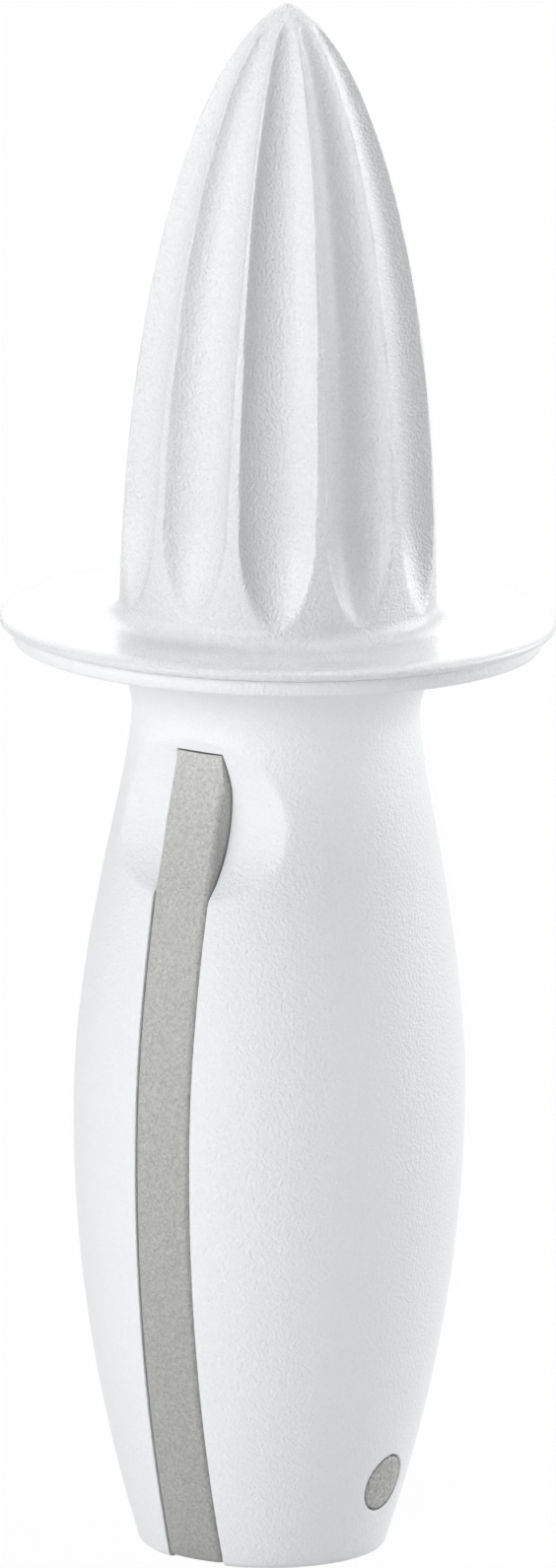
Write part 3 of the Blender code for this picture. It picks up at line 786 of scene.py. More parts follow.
    def slot_section(self, height: float, back: float | None) -> list[Pair]:
        """Give the slot cutter's outline at a height.

        Args:
            height: The height above the base.
            back: How far back the slot goes, or None where it opens through the back.

        Returns:
            The (x, y) points, as many for every height.
        """
        scooped = max(1 - abs(height - self.scoop_height) / self.scoop_radius, 0.0)
        lip = self.slot_lip + self.slot_lip_growth * min(2 * scooped, 1.0)
        bevel = max((height - self.slot_top) / self.slot_corner[1] + 1, 0.0)
        half = self.slot_half - self.slot_corner[0] * bevel
        wide, level = half + lip, max(height, 0.0)
        front = -self.surface_y(wide, level)
        mouth = [(half, front + 2 * lip), *arc((wide, front + lip), lip, 180, 270, ROUND_STEPS),
                 (wide, front - BEYOND)]
        if back is None:
            rear = self.surface_y(wide, level, scooped=False)
            tail = [(wide, rear + BEYOND), *arc((wide, rear - lip), lip, 90, 180, ROUND_STEPS),
                    (half, rear - 2 * lip)]
        else:
            tail = [(half, back)] * len(mouth)
        right = mouth[::-1] + tail[::-1]
        return right + [(-x, y) for x, y in reversed(right)]

    def slot_cutters(self) -> list[bpy.types.Object]:
        """Build the cutter of the foot, open through the back, and that of the heel's room and the slot."""
        foot = [-self.foot_overlap, *ladder([0.0, self.base_edge, self.heel_window], self.foot_rows)]
        heel = spread(self.heel_window, self.heel_stop, self.heel_rows)
        corner = self.slot_top - self.slot_corner[1]
        slot = ladder([self.heel_stop, self.dense_height, corner, self.slot_top], self.slot_rows)
        backs = [math.sqrt(self.heel_reach ** 2 - (z - self.pivot_height) ** 2) for z in heel]
        backs += [self.slot_floor] * len(slot)
        plans = {"foot_cutter": [(z, None) for z in foot], "slot_cutter": list(zip(heel + slot, backs))}
        return [skin(name, [[(x, y, z) for x, y in self.slot_section(z, back)] for z, back in levels])
                for name, levels in plans.items()]

    def pivot_ring(self, radius: float, depth: float, side: int, sides: int,
                   follows: bool = True) -> list[Point]:
        """Give one ring round the pivot's axis.

        Args:
            radius: The ring's radius.
            depth: How far it lies under the barrel's surface, or its x where it doesn't follow that.
            side: 1 for the right, -1 for the left.
            sides: The number of points.
            follows: Whether it follows the barrel's surface.

        Returns:
            The points; one point for a ring of no radius.
        """
        points = []
        for turn in full_turn(sides if radius > WELD else 1):
            y, z = radius * math.sin(turn), self.pivot_height + radius * math.cos(turn)
            x = self.surface_y(abs(y), z, scooped=False) - depth if follows else depth
            points.append((side * x, y, z))
        return points

    def hole_cutter(self) -> bpy.types.Object:
        """Build the cutter of the pivot's hole, its mouths following the barrel."""
        lip, sides, bore = self.hole_lip, self.hole_sides, self.pivot_hole
        ends = []
        for side in (-1, 1):
            mouth = [self.pivot_ring(bore + lip * c, lip * s, side, sides)
                     for c, s in quarter(self.hole_steps)]
            ends.append([*mouth, self.pivot_ring(bore + lip, BEYOND, side, sides, follows=False)])
        return skin("pivot_hole_cutter", ends[0][::-1] + ends[1])

    def pocket_cutter(self, side: int) -> bpy.types.Object:
        """Build the cutter of the core pocket on one side of the slot."""
        wall = self.slot_half + self.pocket_wall
        half_angle = math.degrees(math.acos(wall / self.pocket_radius))
        outline = arc((0.0, 0.0), self.pocket_radius, -half_angle, half_angle, self.pocket_steps)
        levels = (self.pocket_floor, self.socket_floor + self.pocket_overlap)
        return skin(f"pocket_cutter_{side}", [[(side * x, side * y, z) for x, y in outline] for z in levels])

    def build(self) -> None:
        shell = self.build_shell()
        carve(shell, *self.slot_cutters(), self.hole_cutter(), self.pocket_cutter(1), self.pocket_cutter(-1))
        finish_piece(shell, self.material, Body.HANDLE, ["handle_body"])


# Reamer

@dataclass
class Reamer:
    """The white reamer: fluted cone, juice flange and hollow spigot in one moulding."""
    handle: Handle
    material: bpy.types.Material
    disc_bottom: float = 110.55 * MM
    disc_top: float = 111.9 * MM
    disc_radius: float = 32.65 * MM
    disc_dish: float = 0.3 * MM   # how much lower its middle lies than its rim
    disc_roll: Pair = (2.0 * MM, 0.75 * MM)  # width and height of the rim's rolled top edge
    disc_edge: float = 0.5 * MM   # round of its lower edge
    cone_height: float = 72.65 * MM
    cone_radius: float = 18.6 * MM
    cone_fullness: float = 2.167
    cone_taper: float = 0.598
    cone_foot: Pair = (2.4 * MM, 2.1 * MM)  # width and height of the sweep into the flange
    tip_pinch: float = 0.33       # how much narrower the very tip is than that outline
    tip_reach: float = 1.9 * MM   # how fast that fades below the tip
    tip_dome: float = 1.0 * MM    # plain dome above the flutes
    flutes: int = 11
    flute_slope: float = 50.0     # of a flute's walls at its edges, in degrees
    flute_foot: float = 2.1 * MM
    flute_arch: float = 11.5 * MM
    flute_fade: float = 2.5 * MM  # height in which a flute runs out below the dome
    ridge_width: float = 0.28 * MM
    land_width: float = 1.82 * MM  # between two flutes at the disc
    land_reach: float = 59.0 * MM  # height where the land would close
    ridge_softness: float = 0.06 * MM
    soft_flutes: float = 8.0      # how soon the ridges are that soft as the flutes get wider
    soft_radius: float = 3.0 * MM  # radius of the cone from which they are
    flute_guard: float = 72.65    # slope that keeps a flute's surface within its cutter
    least_slope: float = 0.01     # of a flute that runs out, in radians
    columns_per_flute: int = 32
    rows: int = 170
    row_gathering: float = 1.5    # how much closer the rows lie towards the tip
    ridge_gathering: float = 0.65  # how much closer the columns lie towards the ridges
    foot_steps: int = 16          # of the sweep into the flange
    disc_rings: int = 8           # across the flange
    roll_steps: int = 10          # of the rim's top edge
    edge_steps: int = 6           # of its lower edge
    hollow_rings: int = 24        # of the hollow if it reached the cone's tip
    wall: float = 1.6 * MM
    spigot_radius: float = 14.05 * MM
    spigot_bore: float = 11.3 * MM
    spigot_end: float = 103.45 * MM
    spigot_root: Pair = (0.4 * MM, 0.1 * MM)  # width and height of its bevel under the flange
    seal_height: float = 107.7 * MM
    seal_thickness: float = 1.5 * MM
    seat_gap: float = 0.25 * MM
    crease: float = 28.0          # angle beyond which an edge is shaded sharp, in degrees

    def turns(self) -> list[float]:
        """Give the columns' angles, gathered towards the ridges as in the cone's tree."""
        pitch = math.tau / self.flutes
        angles = []
        for column in range(self.flutes * self.columns_per_flute):
            flute, step = divmod(column, self.columns_per_flute)
            t = 2 * step / self.columns_per_flute - 1
            bent = (1 - self.ridge_gathering) * t + self.ridge_gathering * math.sin(math.pi * t / 2)
            angles.append(flute * pitch + pitch / 2 * bent)
        return angles

    def cone_tree(self) -> RuleTree:
        """Build the Geometry Nodes tree that shapes the fluted cone from a grid."""
        tree = RuleTree("fluted_cone", {
            "Base": self.disc_top, "Start": self.cone_foot[1] - self.disc_dish, "Height": self.cone_height,
            "Radius": self.cone_radius, "Fullness": self.cone_fullness, "Taper": self.cone_taper,
            "Flutes": self.flutes, "Columns": self.columns_per_flute, "Rows": self.rows,
            "Slope": math.radians(self.flute_slope), "Foot": self.flute_foot, "Arch": self.flute_arch,
            "Ridge": self.ridge_width, "Land": self.land_width, "Land Reach": self.land_reach,
            "Softness": self.ridge_softness, "Pinch": self.tip_pinch, "Pinch Reach": self.tip_reach,
            "Dome": self.tip_dome, "Fade": self.flute_fade, "Material": self.material})
        given = tree.given
        flutes, height = given("Flutes"), given("Height")
        grid = tree.node("GeometryNodeMeshGrid", None, {
            "Size X": 1.0, "Size Y": 1.0, "Vertices X": flutes * given("Columns") + 1,
            "Vertices Y": given("Rows")})
        place = tree.node("ShaderNodeSeparateXYZ", None,
                          {0: tree.node("GeometryNodeInputPosition").outputs[0]})
        across = (Value(tree, place.outputs["X"]) + 0.5) * flutes
        along = Value(tree, place.outputs["Y"]) + 0.5

        pitch = math.tau / flutes
        t = across.math("FRACT") * 2 - 1
        bent = (1 - self.ridge_gathering) * t + self.ridge_gathering * (t * (math.pi / 2)).math("SINE")
        angle = bent * pitch / 2
        turn = across.math("FLOOR") * pitch + angle
        gathered = 1 - (1 - along).at_least(0.0) ** self.row_gathering
        level = given("Start") + (height - given("Start")) * gathered

        share = (level / height).at_most(1.0)
        pinch = 1 - given("Pinch") * math.e ** ((level - height) / given("Pinch Reach"))
        outline = given("Radius") * (1 - share ** given("Fullness")).at_least(0.0) ** given("Taper")
        ridge = outline * pinch
        below = ((height - level - given("Dome")) / given("Fade")).clamped()
        fade = below * below * (3 - 2 * below)
        land = (given("Land") * (1 - level / given("Land Reach"))).at_least(given("Ridge"))
        widest = (pitch / 2 - land / (2 * ridge.at_least(WELD))).at_least(0.0)
        fall = (1 - (level - given("Foot")) / given("Arch")).clamped()
        arch = (1 - fall * fall).math("SQRT")
        half = widest * arch * fade.math("SQRT")
        chord = ridge * half.math("SINE")
        slope = (given("Slope") * arch.math("SQRT") * fade).at_least(self.least_slope)
        cutter = chord / slope.math("SINE")
        centre = ridge * half.math("COSINE") + cutter * slope.math("COSINE")
        offset = centre * angle.math("SINE")
        inner = (cutter * cutter - offset * offset).at_least(0.0).math("SQRT")
        outside = (offset.math("ABSOLUTE") - cutter).at_least(0.0)
        flute = centre * angle.math("COSINE") - inner + outside * self.flute_guard
        softened = given("Softness") * (half * self.soft_flutes).at_most(1.0)
        softness = softened * (ridge / self.soft_radius).at_most(1.0)
        reach = ridge.math("SMOOTH_MIN", flute, softness)

        laid = tree.node("ShaderNodeCombineXYZ", None, {
            0: reach * turn.math("SINE"), 1: -(reach * turn.math("COSINE")), 2: given("Base") + level})
        shaped = tree.node("GeometryNodeSetPosition", None,
                           {"Geometry": grid.outputs["Mesh"], "Position": laid.outputs[0]})
        merged = tree.node("GeometryNodeMergeByDistance", None,
                           {"Geometry": shaped.outputs[0], "Distance": WELD})
        tree.close(merged.outputs[0])
        return tree

    def disc_profile(self) -> list[Pair]:
        """Give the outline from the cone's foot over the flange and down the spigot to the hollow's tip."""
        dish, edge = self.disc_top - self.disc_dish, self.disc_edge
        wide, high = self.cone_foot
        foot = self.cone_radius + wide
        fillet = [(foot - wide * (1 - c), dish + high * s) for c, s in quarter(self.foot_steps)]
        roll, fall = self.disc_roll
        slope = [(foot + (self.disc_radius - roll - foot) * t, dish + self.disc_dish * t)
                 for t in spread(0.0, 1.0, self.disc_rings)[1:]]
        upper = [(self.disc_radius - roll * s, self.disc_top - fall * c)
                 for c, s in quarter(self.roll_steps)[1:]]
        lower = arc((self.disc_radius - edge, self.disc_bottom + edge), edge, 0, -90, self.edge_steps)
        spigot, bottom, seal = self.spigot_radius, self.disc_bottom, self.seal_height
        half_groove = self.seal_thickness / 2 + self.seat_gap
        groove = spigot - self.seal_thickness - self.seat_gap
        outside = [(spigot + self.spigot_root[0], bottom), (spigot, bottom - self.spigot_root[1]),
                   (spigot, seal + half_groove), (groove, seal + half_groove),
                   (groove, seal - half_groove), (spigot, seal - half_groove), *self.handle.snap(spigot)]
        inside = [(spigot, self.spigot_end), (self.spigot_bore, self.spigot_end),
                  (self.spigot_bore, self.disc_top)]
        return [*fillet, *slope, *upper, *lower, *outside, *inside, *self.hollow_profile()]

    def hollow_profile(self) -> list[Pair]:
        """Give the hollow's outline inside the cone, one wall under the flutes' valleys."""
        profile = []
        half = math.pi / self.flutes - self.land_width / (2 * self.cone_radius)
        depth = math.cos(half) - math.sin(half) * math.tan(math.radians(self.flute_slope) / 2)
        for share in spread(0.0, 1.0, self.hollow_rings)[2:]:
            level = self.cone_height * math.sin(share * math.pi / 2)
            fullness = 1 - (level / self.cone_height) ** self.cone_fullness
            valley = self.cone_radius * fullness ** self.cone_taper * depth
            room = min(valley - self.wall, self.spigot_bore)
            if room < self.wall:
                break
            profile.append((room, self.disc_top + level - self.wall))
        return [*profile, (0.0, profile[-1][1] + self.wall / 2)]

    def build(self) -> None:
        cone = add_object("reamer", bpy.data.meshes.new("reamer"))
        self.cone_tree().run(cone)
        flange = skin("reamer_flange", turned_rings(self.disc_profile(), self.turns()), capped=False)
        join(cone, flange)
        finish_piece(cone, self.material, Body.HANDLE, ["reamer_head"], self.crease)


# Grater arm

@dataclass
class GraterArm:
    """The grey folding arm with its steel grater plate and rivets."""
    handle: Handle
    material: bpy.types.Material
    plate_material: bpy.types.Material
    rivet_material: bpy.types.Material
    half: float = 3.69 * MM
    foot: float = 0.3 * MM
    tip: float = 97.85 * MM
    back: float = 5.0 * MM
    tip_corner: float = 4.0 * MM
    corner: float = 0.8 * MM      # of the front's foot
    grip_depth: float = 0.35 * MM  # of the front between the scoop's lobes, under the barrel's round
    grip_start: float = 81.0 * MM
    grip_ramp: float = 6.0 * MM   # height in which the front goes down to that depth
    nose_depth: float = 0.5 * MM  # how much deeper the tip's front lies
    nose_start: float = 89.0 * MM
    nose_ramp: float = 5.5 * MM   # height in which the tip's front goes down to that
    nose_power: float = 1.4       # how late on the way up it does
    foot_height: float = 20.0 * MM
    front_rows: Counts = (16, 64)  # below and above foot_height
    back_rows: int = 8
    tip_steps: int = 12
    side_steps: int = 8           # across the arm, between its round edges
    edge_steps: int = 6
    tip_taper: Pair = (0.7 * MM, 4.0 * MM)  # how much each side of the tip draws in, and over what height
    edge: float = 0.65 * MM       # round of the long edges
    cut_edge: float = 0.3 * MM    # round of the window's edges
    overcut: float = 1.0 * MM     # how far a cutter goes past the face that it opens through
    hub_recess: float = 6.25 * MM
    hub_floor: float = 2.95 * MM
    hub_sides: int = 48
    recess_lip: float = 0.2 * MM  # bevel of the hub's and the rivets' recesses
    window_low: float = 27.0 * MM
    window_high: float = 78.0 * MM
    window_corner: float = 3.0 * MM
    window_rows: int = 24
    corner_steps: int = 8
    front_rim: float = 4.4 * MM
    back_rim: float = 3.6 * MM
    rebate_floor: float = 1.8 * MM
    plate_back: float = 2.05 * MM
    plate_face: float = 2.55 * MM
    plate_ledge: float = 2.0 * MM  # how far the plate reaches past the window's sides
    plate_end: float = 5.5 * MM   # how far it reaches past the window's ends
    plate_edge: float = 0.12 * MM
    seat_gap: float = 0.25 * MM
    rivet_inset: float = 3.6 * MM
    rivet_shank: float = 1.0 * MM
    rivet_head: float = 1.8 * MM
    rivet_head_height: float = 0.6 * MM
    rivet_bevels: Pair = (0.15 * MM, 0.08 * MM)  # of the tail and of the head
    rivet_rim: float = 0.3        # height of the head's rim, as a share of the head's
    rivet_dome: float = 0.8       # power of the cosine that rounds the head, flatter when lower
    rivet_sides: int = 24
    rivet_steps: int = 8          # of the head's dome
    tooth_pitch: float = 4.3 * MM
    tooth_row: float = 4.0 * MM
    tooth_skirt: float = 1.75 * MM
    tooth_hole: float = 1.0 * MM
    tooth_lip: float = 0.18 * MM
    tooth_height: float = 0.75 * MM
    tooth_burr: float = 0.16      # how much lower every second point of its cutting edge lies
    tooth_crest: float = 0.9      # share of the height from which that edge begins
    tooth_sides: int = 20
    tooth_seam: float = 0.002 * MM  # distance within which teeth and sheet are welded
    steel_crease: float = 40.0    # angle beyond which the steel's edges are shaded sharp, in degrees

    def front(self, height: float) -> float:
        """Give the y of the arm's outer edge at a height."""
        return -self.handle.barrel_radius(height)

    def side_ring(self, x: float) -> list[Point]:
        """Give the arm's outline at one distance from its middle, drawn in where the edges are round."""
        over = abs(x) - (self.half - self.edge)
        pull = 0.0 if over <= 0 else self.edge - math.sqrt(max(self.edge ** 2 - over ** 2, 0.0))

        def front(height: float) -> Pair:
            grip = min(max((height - self.grip_start) / self.grip_ramp, 0.0), 1.0)
            nose = min(max((height - self.nose_start) / self.nose_ramp, 0.0), 1.0)
            ledge = self.grip_depth * grip ** 2 * (3 - 2 * grip) + self.nose_depth * nose ** self.nose_power
            return pull + ledge - math.sqrt(self.handle.barrel_radius(height) ** 2 - x ** 2), height

        drawn = max(abs(x) - self.half + self.tip_taper[0], 0.0) / self.tip_taper[0]
        tip = self.tip - drawn * self.tip_taper[1]
        low, high, back, corner = self.foot + pull, tip - pull, self.back - pull, self.corner
        heights = ladder([low + corner, self.foot_height, high], self.front_rows)
        foot = front(low)
        outline = bend((foot[0] + corner, low), foot, front(low + corner))[:-1]
        outline += [front(z) for z in heights]
        turn = self.tip_corner - pull
        outline += arc((self.back - self.tip_corner, tip - self.tip_corner), turn, 90, 0, self.tip_steps)
        outline += [(back, z) for z in spread(tip - self.tip_corner, low + corner, self.back_rows)[1:]]
        outline += bend((back, low + corner), (back, low), (back - corner, low))[1:]
        return [(x, y, z) for y, z in outline]

    def bay_outline(self, grown: float, ends: float, corner: float) -> list[Pair]:
        """Give the window's outline.

        Args:
            grown: How far it is grown along its sides.
            ends: How far it is grown at its ends.
            corner: The radius of its corners.

        Returns:
            The (y, z) points.
        """
        low, high = self.window_low - ends, self.window_high + ends
        rounds = quarter(self.corner_steps)
        stations = [(low + corner * s, corner * c) for c, s in reversed(rounds)]
        stations += [(z, 0.0) for z in spread(low + corner, high - corner, self.window_rows)[1:-1]]
        stations += [(high - corner * s, corner * c) for c, s in rounds]
        ahead = [(self.front(z) + self.front_rim - grown + pull, z) for z, pull in stations]
        behind = [(self.back - self.back_rim + grown - pull, z) for z, pull in reversed(stations)]
        return ahead + behind

    def bay_cutter(self, name: str, floor: float, mouth: float, grown: Pair,
                   corner: float) -> bpy.types.Object:
        """Build a cutter of the window's shape, from floor to mouth along X, with a rounded mouth.

        Args:
            name: The cutter's name.
            floor: The x where it starts.
            mouth: The x of the face that it opens through.
            grown: How far it is grown along its sides and at its ends.
            corner: The radius of its corners.

        Returns:
            The cutter.
        """
        way = 1 if mouth > floor else -1
        lip = self.cut_edge
        stations = [(floor, 0.0), *[(mouth - way * lip * s, lip * c) for c, s in quarter(ROUND_STEPS)],
                    (mouth + way * self.overcut, lip)]
        rings = [[(x, y, z) for y, z in self.bay_outline(grown[0] + g, grown[1] + g, corner + g)]
                 for x, g in stations]
        return skin(name, rings)

    def rivet_places(self) -> list[Pair]:
        """Give the (y, z) place of each rivet, two at each end of the plate."""
        places = []
        behind = self.back - self.back_rim + self.plate_ledge - self.rivet_inset
        for height in (self.window_low - self.plate_end / 2, self.window_high + self.plate_end / 2):
            ahead = self.front(height) + self.front_rim - self.plate_ledge + self.rivet_inset
            places += [(ahead, height), (behind, height)]
        return places

    def tooth_places(self) -> list[Pair]:
        """Give the (y, z) middle of each tooth, in staggered rows inside the window."""
        places = []
        margin = self.tooth_skirt + self.seat_gap
        rows = int((self.window_high - self.window_low - 2 * margin) / self.tooth_row)
        start = (self.window_low + self.window_high - rows * self.tooth_row) / 2
        for row in range(rows + 1):
            height = start + row * self.tooth_row
            ahead = self.front(height) + self.front_rim + margin
            behind = self.back - self.back_rim - margin
            shift = self.tooth_pitch / 2 if row % 2 else 0.0
            for step in range(int((behind - shift - ahead) / self.tooth_pitch) + 1):
                places.append((behind - shift - step * self.tooth_pitch, height))
        return places

    def build_frame(self) -> None:
        flat = self.half - self.edge
        rounds = [flat + self.edge * math.sin(math.radians(a)) for a in spread(0, 90, self.edge_steps)]
        rounds = sorted([*rounds, self.half - self.tip_taper[0]])
        middle = spread(-rounds[0], rounds[0], self.side_steps)[1:-1]
        stations = [-x for x in reversed(rounds)] + middle + rounds
        arm = skin("arm_frame", [self.side_ring(x) for x in stations])
        window = self.bay_cutter("window_cutter", self.rebate_floor + self.overcut, -self.half, (0.0, 0.0),
                                 self.window_corner)
        rebate = self.bay_cutter("rebate_cutter", self.rebate_floor, self.half,
                                 (self.plate_ledge + self.seat_gap, self.plate_end + self.seat_gap),
                                 self.window_corner + self.seat_gap)
        lip, face, outer = self.recess_lip, self.half, self.half + self.overcut
        half_hub = [(self.handle.pivot_hole, self.hub_floor), (self.hub_recess, self.hub_floor),
                    (self.hub_recess, face - lip), (self.hub_recess + lip, face),
                    (self.hub_recess + lip, outer), (0.0, outer)]
        hub = turned("hub_cutter", [(r, -x) for r, x in reversed(half_hub)] + half_hub, self.hub_sides,
                     (0.0, self.handle.pivot_height))
        seat = self.seat_gap + self.rivet_head_height + self.seat_gap - face
        bore, sink = self.rivet_shank + self.seat_gap, self.rivet_head + self.seat_gap
        rivet_hole = [(0.0, -outer), (sink + lip, -outer), (sink + lip, -face), (sink, lip - face),
                      (sink, seat), (bore, seat), (bore, BEYOND), (0.0, BEYOND)]
        holes = [turned(f"rivet_hole_cutter_{i}", rivet_hole, self.rivet_sides, spot)
                 for i, spot in enumerate(self.rivet_places())]
        carve(arm, window, rebate, hub, *holes)
        finish_piece(arm, self.material, Body.ARM, ["grater_frame"])

    def tooth(self) -> bpy.types.Object:
        """Build one raised tooth of the plate, its hole at the origin and its sheet still to come.

        Its sections are (radius, share of its height, offset), from the sheet's face over the cutting edge
        to the sheet's back.
        """
        sheet = self.plate_face - self.plate_back
        skirt, hole, lip = self.tooth_skirt, self.tooth_hole, self.tooth_lip
        sections = [(skirt, 0.0, 0.0), (skirt - 0.12 * MM, 0.05, 0.02 * MM), (hole + 2.4 * lip, 0.42, 0.0),
                    (hole + 1.3 * lip, 0.85, 0.0), (hole + 0.75 * lip, 1.0, 0.0),
                    (hole + 0.2 * lip, 1.0, 0.0), (hole, 0.9, -0.02 * MM), (hole, 0.35, -0.1 * MM),
                    (hole + 1.2 * lip, 0.0, -0.6 * sheet), (skirt - lip, 0.0, -sheet)]
        rings = []
        for radius, share, offset in sections:
            ring = []
            for number, turn in enumerate(full_turn(self.tooth_sides)):
                burr = 1 - self.tooth_burr * (number % 2) * (share >= self.tooth_crest)
                rise = self.tooth_height * (0.5 - 0.5 * math.sin(turn)) * share * burr
                ring.append((offset + rise, radius * math.cos(turn), radius * math.sin(turn)))
            rings.append(ring)
        return skin("tooth", rings, capped=False)

    def repeated(self, name: str, template: bpy.types.Object, places: Sequence[Pair], depth: float,
                 material: bpy.types.Material) -> bpy.types.Object:
        """Repeat a template at places by Geometry Nodes.

        Args:
            name: The new piece's name.
            template: The shape, around the origin; it is deleted.
            places: The (y, z) places.
            depth: The x of every place.
            material: The finish.

        Returns:
            One plain mesh of all the copies.
        """
        points = bpy.data.meshes.new(name)
        points.from_pydata([(depth, y, z) for y, z in places], [], [])
        piece = add_object(name, points)
        tree = RuleTree(f"{name}_rows", {"Shape": template, "Material": material})
        shape = tree.node("GeometryNodeObjectInfo", {"transform_space": "ORIGINAL"},
                          {"Object": tree.given("Shape")})
        copies = tree.node("GeometryNodeInstanceOnPoints", None, {
            "Points": tree.source.outputs["Geometry"], "Instance": shape.outputs["Geometry"]})
        tree.close(copies.outputs[0])
        tree.run(piece)
        drop(template)
        return piece

    def sheet(self) -> bpy.types.Object:
        """Build the plate's sheet with open holes where the rivets and the teeth go."""
        bm = bmesh.new()

        def loop(points: Sequence[Pair], depth: float) -> list[bmesh.types.BMVert]:
            return [bm.verts.new((depth, y, z)) for y, z in points]

        def bridge(first: list[bmesh.types.BMVert], second: list[bmesh.types.BMVert]) -> None:
            for i in range(len(first)):
                bm.faces.new((first[i - 1], first[i], second[i], second[i - 1]))

        def border(inset: float, depth: float) -> list[bmesh.types.BMVert]:
            return loop(self.bay_outline(self.plate_ledge - inset, self.plate_end - inset,
                                         self.window_corner - inset), depth)

        edge, face, back = self.plate_edge, self.plate_face, self.plate_back
        chain = [border(edge, face), border(0.0, face - edge), border(0.0, back + edge), border(edge, back)]
        for first, second in zip(chain, chain[1:]):
            bridge(first, second)
        face_loops, back_loops = [chain[0]], [chain[-1]]
        for place in self.rivet_places():
            points = circle(place, self.rivet_shank + self.seat_gap, self.rivet_sides)
            face_loops.append(loop(points, face))
            back_loops.append(loop(points, back))
            bridge(face_loops[-1], back_loops[-1])
        for place in self.tooth_places():
            face_loops.append(loop(circle(place, self.tooth_skirt, self.tooth_sides), face))
            under = self.tooth_skirt - self.tooth_lip
            back_loops.append(loop(circle(place, under, self.tooth_sides), back))
        for loops in (face_loops, back_loops):
            corners = [vertex for one in loops for vertex in one]
            for triangle in tessellate_polygon([[vertex.co for vertex in one] for one in loops]):
                bm.faces.new([corners[i] for i in triangle])
        mesh = bpy.data.meshes.new("grater_sheet")
        bm.to_mesh(mesh)
        bm.free()
        return add_object("grater_sheet", mesh)

    def build_plate(self) -> None:
        plate = self.sheet()
        teeth = self.repeated("teeth", self.tooth(), self.tooth_places(), self.plate_face,
                              self.plate_material)
        join(plate, teeth, distance=self.tooth_seam)
        finish_piece(plate, self.plate_material, Body.ARM, ["grater_plate"], self.steel_crease)

    def build_rivets(self) -> None:
        tail = -(self.half - self.seat_gap)
        seat = tail + self.rivet_head_height
        head = self.plate_face + self.seat_gap
        crown, shank, radius = self.rivet_head_height, self.rivet_shank, self.rivet_head
        (low, high), rim = self.rivet_bevels, self.rivet_rim
        dome = [(radius * math.sin(a), head + crown * (rim + (1 - rim) * math.cos(a) ** self.rivet_dome))
                for a in (math.radians(d) for d in spread(90, 0, self.rivet_steps))]
        profile = [(0.0, tail), (radius - low, tail), (radius, tail + low), (radius, seat), (shank, seat),
                   (shank, head), (radius - high, head), (radius, head + high), *dome[:-1],
                   (0.0, dome[-1][1])]
        template = turned("rivet", profile, self.rivet_sides)
        places = self.rivet_places()
        rivets = self.repeated("plate_rivets", template, places, 0.0, self.rivet_material)
        nodes = [f"plate_rivet_{i}" for i in range(1, len(places) + 1)]
        finish_piece(rivets, self.rivet_material, Body.ARM, nodes, self.steel_crease)

    def build(self) -> None:
        """Build the whole arm."""
        self.build_frame()
        self.build_plate()
        self.build_rivets()


# Pivot

@dataclass
class Pivot:
    """The grey pivot pin and the sleeve that it snaps into, both ends cut to the barrel's round."""
    handle: Handle
    material: bpy.types.Material
    sleeve_radius: float = 3.25 * MM
    stem_radius: float = 2.1 * MM
    stem_reach: float = 11.7 * MM
    stem_bead: float = 0.25 * MM
    stem_bevel: float = 0.2 * MM
    seat_gap: float = 0.25 * MM
    arm_half: float = 3.7 * MM    # x of the sleeve's inner end
    shoulder: float = 3.95 * MM   # x of the pin's shoulder
    edge: float = 0.28 * MM       # round of the two ends
    sides: int = 64

    def build_half(self, name: str, node: str, profile: Sequence[Pair], side: int) -> None:
        """Build, dress and attach one half of the pivot to its body.

        Args:
            name: The piece's name.
            node: The CAD node that it stands for.
            profile: Its (radius, x) points, up to the end that follows the barrel.
            side: 1 for the right, -1 for the left.
        """
        edge = self.edge
        corner = [(self.sleeve_radius - edge * c, edge * s) for c, s in quarter(ROUND_STEPS)]
        flat = [(r, 0.0) for r in spread(corner[-1][0], 0.0, ROUND_STEPS)[1:]]
        rings = [self.handle.pivot_ring(r, x, side, self.sides, follows=False) for r, x in profile]
        rings += [self.handle.pivot_ring(r, inset, side, self.sides) for r, inset in corner + flat]
        half = skin(name, rings)
        finish_piece(half, self.material, Body.HANDLE, [node])

    def build_pin(self) -> None:
        """Build the pin, with a snap bead near the end of its stem."""
        stem, bead, bevel, end = self.stem_radius, self.stem_bead, self.stem_bevel, -self.stem_reach
        profile = [(0.0, end), (stem - bevel, end), (stem, end + bevel), (stem + bead, end + 2 * bead),
                   (stem, end + 4 * bead), (stem, self.shoulder), (self.sleeve_radius, self.shoulder)]
        self.build_half("pin", "pivot_pin", profile, 1)

    def build_sleeve(self) -> None:
        """Build the sleeve, with a groove for the bead."""
        bore, bead = self.stem_radius + self.seat_gap, self.stem_bead
        middle = self.stem_reach - 2 * bead
        groove = 2 * (bead + self.seat_gap)
        profile = [(0.0, middle + groove), (bore, middle + groove), (bore + bead, middle),
                   (bore, middle - groove), (bore, -self.arm_half), (self.sleeve_radius, -self.arm_half)]
        self.build_half("sleeve", "pivot_sleeve", profile, -1)

    def build(self) -> None:
        """Build both halves of the pivot."""
        self.build_pin()
        self.build_sleeve()


# Studio

def direction(azimuth: float, elevation: float) -> Vector:
    """Give the unit vector towards a place round the object, in degrees from -Y towards +X and up."""
    a, e = math.radians(azimuth), math.radians(elevation)
    return Vector((math.sin(a) * math.cos(e), -math.cos(a) * math.cos(e), math.sin(e)))


def rays(graph: Graph, *kinds: str) -> Value:
    """Give 1 for light paths of the named kinds, such as Camera, and 0 for all others."""
    path = graph.node("ShaderNodeLightPath")
    found = [Value(graph, path.outputs[f"Is {kind} Ray"]) for kind in kinds]
    return sum(found[1:], found[0]).at_most(1.0)


@dataclass(frozen=True)
class Lamp:
    """One large soft light, at a place given from the camera."""
    name: str
    azimuth: float                # towards the camera's right, in degrees
    elevation: float
    level: float                  # light on a surface that faces it, where 1 is white


